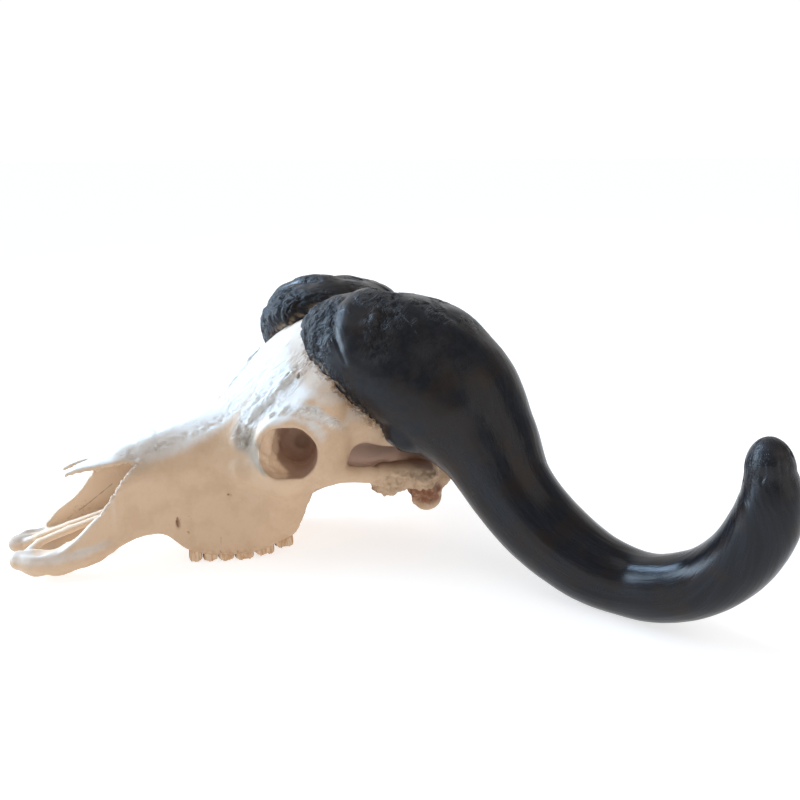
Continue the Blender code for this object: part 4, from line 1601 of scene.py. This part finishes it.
@dataclass
class Horn:
    """One horn's sheath, from its swollen boss to its blunt tip."""

    side: Side
    finish: bpy.types.Material
    sides: int = 230
    boss_step: float = 1.9
    shaft_step: float = 3.0
    boss_end: float = 210.0
    step_change: float = 120.0
    quick_step: float = 1.8
    samples: int = 4000
    length_samples: int = 400
    cap_rings: int = 10
    tip_round: float = 32.0
    medial_round: float = 9.0
    axis_step: float = 0.02
    fold_depth: float = 5.0
    wrinkle_height: float = 3.2
    pit_depth: float = 2.6
    streak_height: float = 0.3

    def build(self) -> bpy.types.Object:
        """Builds and dresses the horn.

        Returns:
            The horn, not yet cut to the bone.
        """
        name = self.side.value + "_horn_sheath"
        made = new_object(name, self._loft(name))
        self._relief().apply(made)
        dress(made, self.finish)
        return made

    def seat(self, horn: bpy.types.Object, bone: bpy.types.Object) -> None:
        """Cuts the horn to the bone and places it on the frame.

        Args:
            horn: the horn.
            bone: the finished bone.
        """
        cut(horn, bone)
        largest_body(horn.data)
        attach(horn, ROOT_BODY)
        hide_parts(self.side.value + "_horn")

    def _places(self) -> np.ndarray:
        """Where the rings lie along the stations: closer on the boss than on the shaft.

        Returns:
            The rings' places.
        """
        at = np.linspace(0.0, len(HORN_STATIONS) - 1.0, self.samples)
        steps = steps_along(through(HORN_STATIONS, at)[:, :3])
        change = (self.boss_end, self.boss_end + self.step_change)
        spacing = np.interp(running_sum(steps), change, (self.boss_step, self.shaft_step))
        count = running_sum(steps / spacing[1:])
        return np.interp(np.linspace(0.0, count[-1], int(count[-1]) + 1), count, at)

    def _rings(self) -> tuple[np.ndarray, np.ndarray, np.ndarray]:
        """The rings, with those of the rounded ends.

        Returns:
            Each ring's place along the stations, its scale, and its shift along the horn.
        """
        at = self._places()
        caps = np.linspace(0.0, math.pi / 2, self.cap_rings + 2)[1:-1]
        places = np.concatenate((np.zeros(len(caps)), at, np.full(len(caps), len(HORN_STATIONS) - 1.0)))
        scale = np.concatenate((np.sin(caps), np.ones(len(at)), np.cos(caps)))
        shift = np.concatenate((-self.medial_round * np.cos(caps), np.zeros(len(at)),
                                self.tip_round * np.sin(caps)))
        return places, scale, shift

    def _directions(self, places: np.ndarray, dip: np.ndarray) -> tuple[np.ndarray, np.ndarray, np.ndarray]:
        """The directions of each ring.

        Args:
            places: where the rings lie along the stations.
            dip: how far each front edge dips, in degrees.

        Returns:
            The way along the horn, to its front edge and up.
        """
        last = len(HORN_STATIONS) - 1.0
        axis = (through(HORN_STATIONS, np.minimum(places + self.axis_step, last))
                - through(HORN_STATIONS, np.maximum(places - self.axis_step, 0.0)))[:, :3]
        axis /= np.linalg.norm(axis, axis=1)[:, None]
        dip = np.radians(dip)
        front = np.stack((np.zeros(len(dip)), -np.cos(dip), -np.sin(dip)), axis=1)
        front -= axis * np.sum(front * axis, axis=1)[:, None]
        front /= np.linalg.norm(front, axis=1)[:, None]
        return axis, front, np.cross(axis, front)

    def _loft(self, name: str) -> bpy.types.Mesh:
        """The smooth sheath, with where each point lies along and around it.

        Args:
            name: the mesh's name.

        Returns:
            The mesh.
        """
        places, scale, shift = self._rings()
        rows = through(HORN_STATIONS, places)
        axis, front, up = self._directions(places, rows[:, 5])
        centre = rows[:, :3] + axis * shift[:, None]
        sides = self.sides
        angle = np.linspace(0.0, math.tau, sides, endpoint=False)
        forward, upward = np.cos(angle)[None, :, None], np.sin(angle)[None, :, None]
        stations = np.arange(len(HORN_STATIONS))
        trim, top, heel = ((np.interp(places, stations, table) * scale)[:, None, None]
                           for table in (FRONT_TRIM, TOP_SWELL, BACK_SWELL))
        length = (rows[:, 3] * scale)[:, None, None]
        length = length - trim * np.clip(forward, 0.0, 1.0) ** 2 + heel * np.clip(-forward, 0.0, 1.0) ** 2
        thickness = (rows[:, 4] * scale)[:, None, None] + top * np.clip(upward, 0.0, 1.0)
        points = (centre[:, None, :] + front[:, None, :] * forward * length
                  + up[:, None, :] * upward * thickness).reshape(-1, 3)
        ends = (rows[0, :3] - axis[0] * self.medial_round, rows[-1, :3] + axis[-1] * self.tip_round)
        points = np.concatenate((points, np.stack(ends)))
        right = self.side is Side.RIGHT
        if right:
            turn_right(points, RIGHT_HORN_LEAD)
        mesh = mesh_of(name, points, tube_faces(len(places), sides, right))
        reach = running_sum(steps_along(centre))
        ring_reach = np.repeat(reach, sides)
        girth = np.repeat((rows[:, 3] + rows[:, 4]) * 0.5, sides)
        turn = np.tile(angle, len(reach))
        around = np.mod(turn + math.pi / 2, math.tau) * girth
        grain = np.stack((np.cos(turn) * girth, np.sin(turn) * girth, ring_reach), axis=1)
        grain = np.concatenate((grain, ((0.0, 0.0, 0.0), (0.0, 0.0, reach[-1] + 5.0))))
        store_numbers(mesh, "grain", grain)
        store_numbers(mesh, "reach", np.concatenate((ring_reach, (0.0, reach[-1]))))
        store_numbers(mesh, "around", np.concatenate((around, (0.0, 0.0))))
        store_numbers(mesh, "facing", np.concatenate((np.cos(turn), (0.0, 0.0))))
        return mesh

    def _length(self) -> float:
        """How far the tip is from the midline, along the horn."""
        at = np.linspace(0.0, len(HORN_STATIONS) - 1.0, self.length_samples)
        return float(steps_along(through(HORN_STATIONS, at)[:, :3]).sum())

    @staticmethod
    def _skin(g: Form, place: Value) -> tuple[Value, Value, Value]:
        """The fine patterns of the horn.

        Args:
            g: the tree in hand.
            place: the point in hand.

        Returns:
            Wrinkles across the horn, flakes of its worn boss and streaks along it.
        """
        bent = g.attribute("reach") + (g.noise(place, 18.0) - 0.5) * 8.0
        flow = g.whole(g.attribute("around") * 0.28, bent, 0.0)
        ridges = 1.0 - g.math("ABSOLUTE", g.noise(flow, 7.0, 3.0, 0.6, 0.3) - 0.5) * 5.5
        cracks = g.rise(g.cells(flow, 10.0, "DISTANCE_TO_EDGE"), 0.14, 0.02)
        wrinkles = g.smaller(g.larger(ridges, 0.0), 1.0) * (1.0 - cracks)
        broad = g.vector("MULTIPLY", place, (0.5, 0.5, 1.3))
        flakes = g.swell(g.noise(broad, 6.0, 3.0, 0.62, 0.5), 0.34, 0.52)
        drawn = g.vector("MULTIPLY", g.attribute("grain", "FLOAT_VECTOR"), (1.0, 1.0, 0.06))
        return wrinkles, flakes, g.noise(drawn, 7.0, 3.0, 0.55)

    def _relief(self) -> Form:
        """The tree that folds, pits and streaks the horn.

        Returns:
            The tree.
        """
        g = Form(self.side.value + "_horn_relief", {
            "Fold depth": self.fold_depth, "Wrinkle height": self.wrinkle_height,
            "Pit depth": self.pit_depth, "Streak height": self.streak_height}, self.finish)
        place, folded = folded_place(g, RIGHT_HORN_LEAD)
        folded_height = g.parts(folded)[2]
        shapes = Shapes(g, folded)
        bone = BoneField(g).build()
        reach, facing = g.attribute("reach"), g.attribute("facing")
        wrinkles, flakes, streaks = self._skin(g, place)
        boss = g.swell(reach, 230.0, 120.0)
        wander = (g.noise(place, 22.0) - 0.5) * 10.0
        crease = shapes.path(LOBE_FRONT) + wander * 0.3
        lobe = shapes.rod(8.0, *LOBE) + wander * 0.3
        scar = shapes.path(LOBE_BACK) + wander * 0.5
        front = g.swell(bone + wander, 30.0, 8.0) * g.swell(facing, 0.1, 0.5) * boss
        nose = g.swell(shapes.ball((60, 350, 268), (50, 30, 46)) + wander * 0.5, 6.0, -3.0)
        edge = g.larger(front, nose)
        groove = g.swell(crease, 6.0, 0.5) * (1.0 - g.swell(lobe, 2.0, -4.0))
        swelling = g.swell(lobe, 12.0, -14.0)
        heel = g.swell(shapes.ball((133, 427, 150), (14, 14, 14)), 16.0, -6.0)
        broken = g.swell(scar, 26.0, 8.0)
        patches = g.swell(g.noise(place, 30.0), 0.50, 0.58) * boss
        top = g.larger(patches * g.swell(folded_height, 262.0, 288.0) * 0.6, broken)
        end = g.swell(reach, self._length() - 6.0, self._length() + 12.0)
        pits = g.rise(g.cells(g.vector("MULTIPLY", place, (1.0, 1.0, 0.5)), 8.0), 0.30, 0.08)
        height = (g.noise(place, 52.0, 1.0) - 0.5) * 7.0 * boss + (g.noise(place, 64.0) - 0.5) * 2.0
        height = height + swelling * g.given("Fold depth") - groove * 2.0 - nose * 1.0 + heel * 9.0
        height = height - pits * end * 1.8
        height = height + (wrinkles - 0.5) * edge * g.given("Wrinkle height")
        height = height + (flakes - 0.6) * top * g.given("Pit depth")
        height = height + (streaks - 0.5) * g.given("Streak height") * 2.0 * (1.0 - boss)
        mesh = g.grounded(g.raised(g.given("Mesh"), height))
        mesh = g.keep(mesh, "ridge", g.between(flakes, wrinkles, edge))
        mesh = g.keep(mesh, "weathered", g.smaller(g.larger(edge, top, end * 0.6), 1.0))
        brink = g.swell(bone, 11.0, 3.0) * g.swell(facing, 0.0, 0.3)
        mesh = g.keep(mesh, "crust", g.swell(wrinkles, 0.6, 0.2) * brink)
        g.close(mesh)
        return g


# ---- The teeth ----


# The rings of the grinding face, as shares of the outline, and those of the crown above it: how
# far each is above the face, in millimetres, and its size
FACE_RINGS = (0.12, 0.3, 0.45, 0.6, 0.72, 0.82, 0.9, 0.96)
CROWN_RINGS = ((0.5, 0.985), (1.6, 1.0), (3.0, 1.0), (5.0, 1.0), (8.0, 0.985), (12.0, 0.97), (20.0, 0.86))
ROOT_SIZE = 0.72


@dataclass(frozen=True)
class CheekTooth:
    """One upper cheek tooth: its place in the row, its width and where it is worn to."""

    name: str
    front: float
    back: float
    half_width: float
    from_midline: float
    grinding: float
    lobes: int = 2
    sides: int = 96
    squareness: float = 0.42
    root_top: float = 30.0
    rib: float = 0.9
    cusp_drop: float = 3.0
    chipped: float = 0.9
    pit: float = 1.6

    def outline(self, grow: float = 0.0) -> np.ndarray:
        """The crown's outline, seen from below.

        Args:
            grow: how far it is widened.

        Returns:
            One row for each point: outwards and backwards from the tooth's centre.
        """
        half_length = (self.back - self.front) / 2 + grow
        angle = (np.arange(self.sides) + 0.5) * math.tau / self.sides
        across = np.sign(np.cos(angle)) * np.abs(np.cos(angle)) ** self.squareness
        along = np.sign(np.sin(angle)) * np.abs(np.sin(angle)) ** self.squareness
        ribs = sum(np.exp(-((along - rib) / 0.13) ** 2) for rib in np.linspace(-0.86, 0.86, self.lobes + 1))
        clefts = np.abs(np.cos(along * math.pi / 2) if self.lobes == 1 else np.sin(along * math.pi))
        outward = np.clip(across, 0.0, 1.0) * (ribs - 0.9) * self.rib
        inward = -np.clip(-across, 0.0, 1.0) * (clefts - 0.9) * self.rib * 1.6
        return np.stack((across * (self.half_width + grow) + outward + inward, along * half_length), axis=1)

    def mesh(self, side: Side, grow: float = 0.0) -> bpy.types.Mesh:
        """The tooth, or its socket where it is grown.

        Args:
            side: left or right.
            grow: how far the shape is widened.

        Returns:
            The mesh.
        """
        outline = self.outline(grow)
        half_length = (self.back - self.front) / 2
        u = outline[:, 1] / half_length
        v = outline[:, 0] / self.half_width
        outer = np.clip(v, 0.0, 1.0)
        turns = np.clip(u, -1, 1)
        waves = 0.5 - 0.5 * np.cos(turns * math.pi * 2 if self.lobes == 2 else (turns + 1) * math.pi)
        chips = np.sin(u * 8.0 + self.front) * np.sin(u * 13.0 + self.back)
        edge = self.cusp_drop * (1.0 - waves * outer) + self.chipped * chips * outer
        none = np.zeros(self.sides)
        between = np.clip((np.abs(u) - 0.93) / 0.07, 0.0, 1.0)
        rings, darkening, pits = [], [], []

        def ring(size: float, height: np.ndarray, gap: np.ndarray, pit: np.ndarray) -> None:
            """Adds the outline at this size and height, with its share of darkening and of pit.

            Args:
                size: its size, as a share of the outline.
                height: its height.
                gap: how near each point is to the next tooth.
                pit: how deep in the worn pit it is.
            """
            rings.append(np.stack((outline[:, 0] * size, outline[:, 1] * size, height), axis=1))
            darkening.append(gap)
            pits.append(pit)

        for share in FACE_RINGS:
            hollow = self.pit * np.exp(-((share - 0.55) / 0.17) ** 2)
            height = self.grinding - grow + edge * share ** 2 + hollow
            ring(share, height, none, none + hollow / self.pit)
        for rise, size in (*CROWN_RINGS, (self.root_top + grow - self.grinding, ROOT_SIZE)):
            ring(size, self.grinding + rise + edge * max(0.0, 1.0 - rise / 12.0), between, none)
        bottom = (0.0, 0.0, self.grinding - grow + self.pit * 0.4)
        top = (0.0, 0.0, self.root_top + grow)
        points = np.concatenate((*rings, np.array((bottom, top))))
        points += np.array((self.from_midline, (self.front + self.back) / 2, 0.0))
        right = side is Side.RIGHT
        if right:
            turn_right(points, RIGHT_LEAD)
        made = mesh_of(side.value + "_" + self.name, points, tube_faces(len(rings), self.sides, right))
        store_numbers(made, "gap", np.concatenate((*darkening, (0.0, 0.0))))
        store_numbers(made, "pit", np.concatenate((*pits, (0.0, 0.0))))
        return made


@dataclass
class ToothRows:
    """The twelve cheek teeth, and the sockets that they need in the bone."""

    finish: ToothFinish = field(default_factory=ToothFinish)
    gap: float = 0.3
    teeth: tuple[CheekTooth, ...] = (
        CheekTooth("premolar_2", 196.5, 211.0, 7.0, 49.5, 0.0, 1),
        CheekTooth("premolar_3", 211.8, 228.0, 8.5, 52.5, 0.0, 1),
        CheekTooth("premolar_4", 228.8, 246.6, 10.0, 56.0, 0.0, 1),
        CheekTooth("molar_1", 247.4, 269.6, 11.5, 59.0, 0.0),
        CheekTooth("molar_2", 270.4, 293.6, 12.0, 61.5, 3.5),
        CheekTooth("molar_3", 294.4, 317.0, 11.5, 61.5, 9.0),
    )

    def build(self) -> list[bpy.types.Object]:
        """Builds, dresses and places the teeth.

        Returns:
            The twelve teeth.
        """
        material = self.finish.material()
        made = []
        for side in Side:
            for tooth in self.teeth:
                crown = new_object(side.value + "_" + tooth.name + "_crown", tooth.mesh(side))
                dress(crown, material)
                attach(crown, ROOT_BODY)
                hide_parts(side.value + "_" + tooth.name)
                made.append(crown)
        return made

    def sockets(self) -> bpy.types.Object:
        """The space that the teeth take up in the bone, as one cutter.

        Returns:
            The cutter, which is deleted after the cut.
        """
        bm = bmesh.new()
        for side in Side:
            for tooth in self.teeth:
                bm.from_mesh(tooth.mesh(side, self.gap))
        mesh = bpy.data.meshes.new("sockets")
        bm.to_mesh(mesh)
        bm.free()
        return new_object("sockets", mesh)


# ---- The studio ----


@dataclass(frozen=True)
class Lamp:
    """A square soft light: its place in metres, the length of its side, its watts and its colour."""

    name: str
    place: Point
    size: float
    power: float
    colour: Colour

    def build(self, target: Point) -> None:
        """Hangs the lamp so that it looks at the target.

        Args:
            target: the place that it looks at, in metres.
        """
        lamp = bpy.data.lights.new(self.name, "AREA")
        lamp.size = self.size
        lamp.energy = self.power
        lamp.color = self.colour
        made = new_object(self.name, lamp)
        made.location = self.place
        made.rotation_euler = (Vector(target) - Vector(self.place)).to_track_quat("-Z", "Y").to_euler()


@dataclass
class Studio:
    """A pale floor and backdrop, soft lights and the camera of the photograph."""

    lamps: tuple[Lamp, ...] = (
        Lamp("key", (-1.25, -1.7, 0.78), 1.5, 86.0, (0.60, 0.79, 1.0)),
        Lamp("window", (-1.2, -0.78, 1.58), 0.50, 27.0, (0.50, 0.72, 1.0)),
        Lamp("fill", (2.1, 0.85, 1.35), 2.2, 15.2, (1.0, 0.86, 0.72)),
    )
    lit_place: Point = (0.1, 0.0, 0.12)
    floor_half: float = 40.0
    camera_place: Point = (1.040, -0.262, 0.466)
    azimuth: float = 69.2
    elevation: float = 15.6
    lens: float = 40.5
    sensor: float = 36.0
    horizon: Colour = (1.04, 1.04, 1.04)
    zenith: Colour = (0.34, 0.36, 0.39)
    backdrop: Point = (-0.92, 0.35, 0.0)
    daylight: float = 0.3
    floor_glow: float = 0.66
    daylight_spread: float = 40.0
    daylight_from: Point = (-0.15, -0.35, 1.0)

    def build(self) -> None:
        """Makes the floor, the lights and the camera."""
        self._floor()
        self._sky()
        for lamp in self.lamps:
            lamp.build(self.lit_place)
        self._daylight()
        self._camera()

    def _floor(self) -> None:
        """A wide plain floor, which isn't part of the object."""
        half = self.floor_half
        mesh = bpy.data.meshes.new("floor")
        mesh.from_pydata([(-half, -half, 0), (half, -half, 0), (half, half, 0), (-half, half, 0)], [],
                         [(0, 1, 2, 3)])
        floor = new_object("floor", mesh)
        coat = Coat("floor")
        look = {"Base Color": (0.62, 0.62, 0.62, 1.0), "Roughness": 0.9, "Specular IOR Level": 0.0,
                "Emission Color": (1.0, 1.0, 1.0, 1.0), "Emission Strength": self.floor_glow}
        for socket, value in look.items():
            coat.shader.inputs[socket].default_value = value
        dress(floor, coat.material)

    def _sky(self) -> None:
        """Even light from all round."""
        world = bpy.data.worlds.new("studio")
        world.use_nodes = True
        g = Graph(world.node_tree)
        direction = g.value("ShaderNodeTexCoord", {}, {}, "Generated")
        ahead = g.vector("DOT_PRODUCT", direction, Vector(self.backdrop).normalized())
        share = g.smaller(g.swell(ahead, 0.82, 0.45), g.swell(g.parts(direction)[2], 0.06, 0.24))
        colour = g.colours(share, self.horizon, self.zenith)
        world.node_tree.links.new(colour.socket, world.node_tree.nodes["Background"].inputs["Color"])
        bpy.context.scene.world = world
        bpy.context.scene.view_settings.view_transform = "Standard"

    def _daylight(self) -> None:
        """A broad soft light from overhead, which keeps the floor evenly pale."""
        lamp = bpy.data.lights.new("daylight", "SUN")
        lamp.energy = self.daylight
        lamp.angle = math.radians(self.daylight_spread)
        made = new_object("daylight", lamp)
        made.rotation_euler = Vector(self.daylight_from).to_track_quat("Z", "Y").to_euler()

    def _camera(self) -> None:
        """The camera, from the side and height that the photograph was taken from."""
        lens = bpy.data.cameras.new("camera")
        lens.lens = self.lens
        lens.sensor_width = self.sensor
        camera = new_object("camera", lens)
        camera.location = self.camera_place
        azimuth, elevation = math.radians(self.azimuth), math.radians(self.elevation)
        back = Vector((math.sin(azimuth) * math.cos(elevation), -math.cos(azimuth) * math.cos(elevation),
                       math.sin(elevation)))
        camera.rotation_euler = back.to_track_quat("Z", "Y").to_euler()
        bpy.context.scene.camera = camera


def report(piece: bpy.types.Object) -> None:
    """Logs a piece's name and how many triangles it has."""
    LOG.info("%s: %d triangles", piece.name, triangle_count(piece))


def main() -> None:
    """Builds the skull, piece by piece, and the studio round it."""
    logging.basicConfig(level=logging.INFO, format="%(message)s")
    rows = ToothRows()
    for tooth in rows.build():
        report(tooth)
    horn_material = HornFinish().material()
    makers = [Horn(side, horn_material) for side in Side]
    horns = [maker.build() for maker in makers]
    sockets = rows.sockets()
    bone = Bone().build(horns, sockets)
    bpy.data.objects.remove(sockets)
    report(bone)
    for maker, horn in zip(makers, horns):
        maker.seat(horn, bone)
        report(horn)
    Studio().build()


if __name__ == "__main__":
    main()
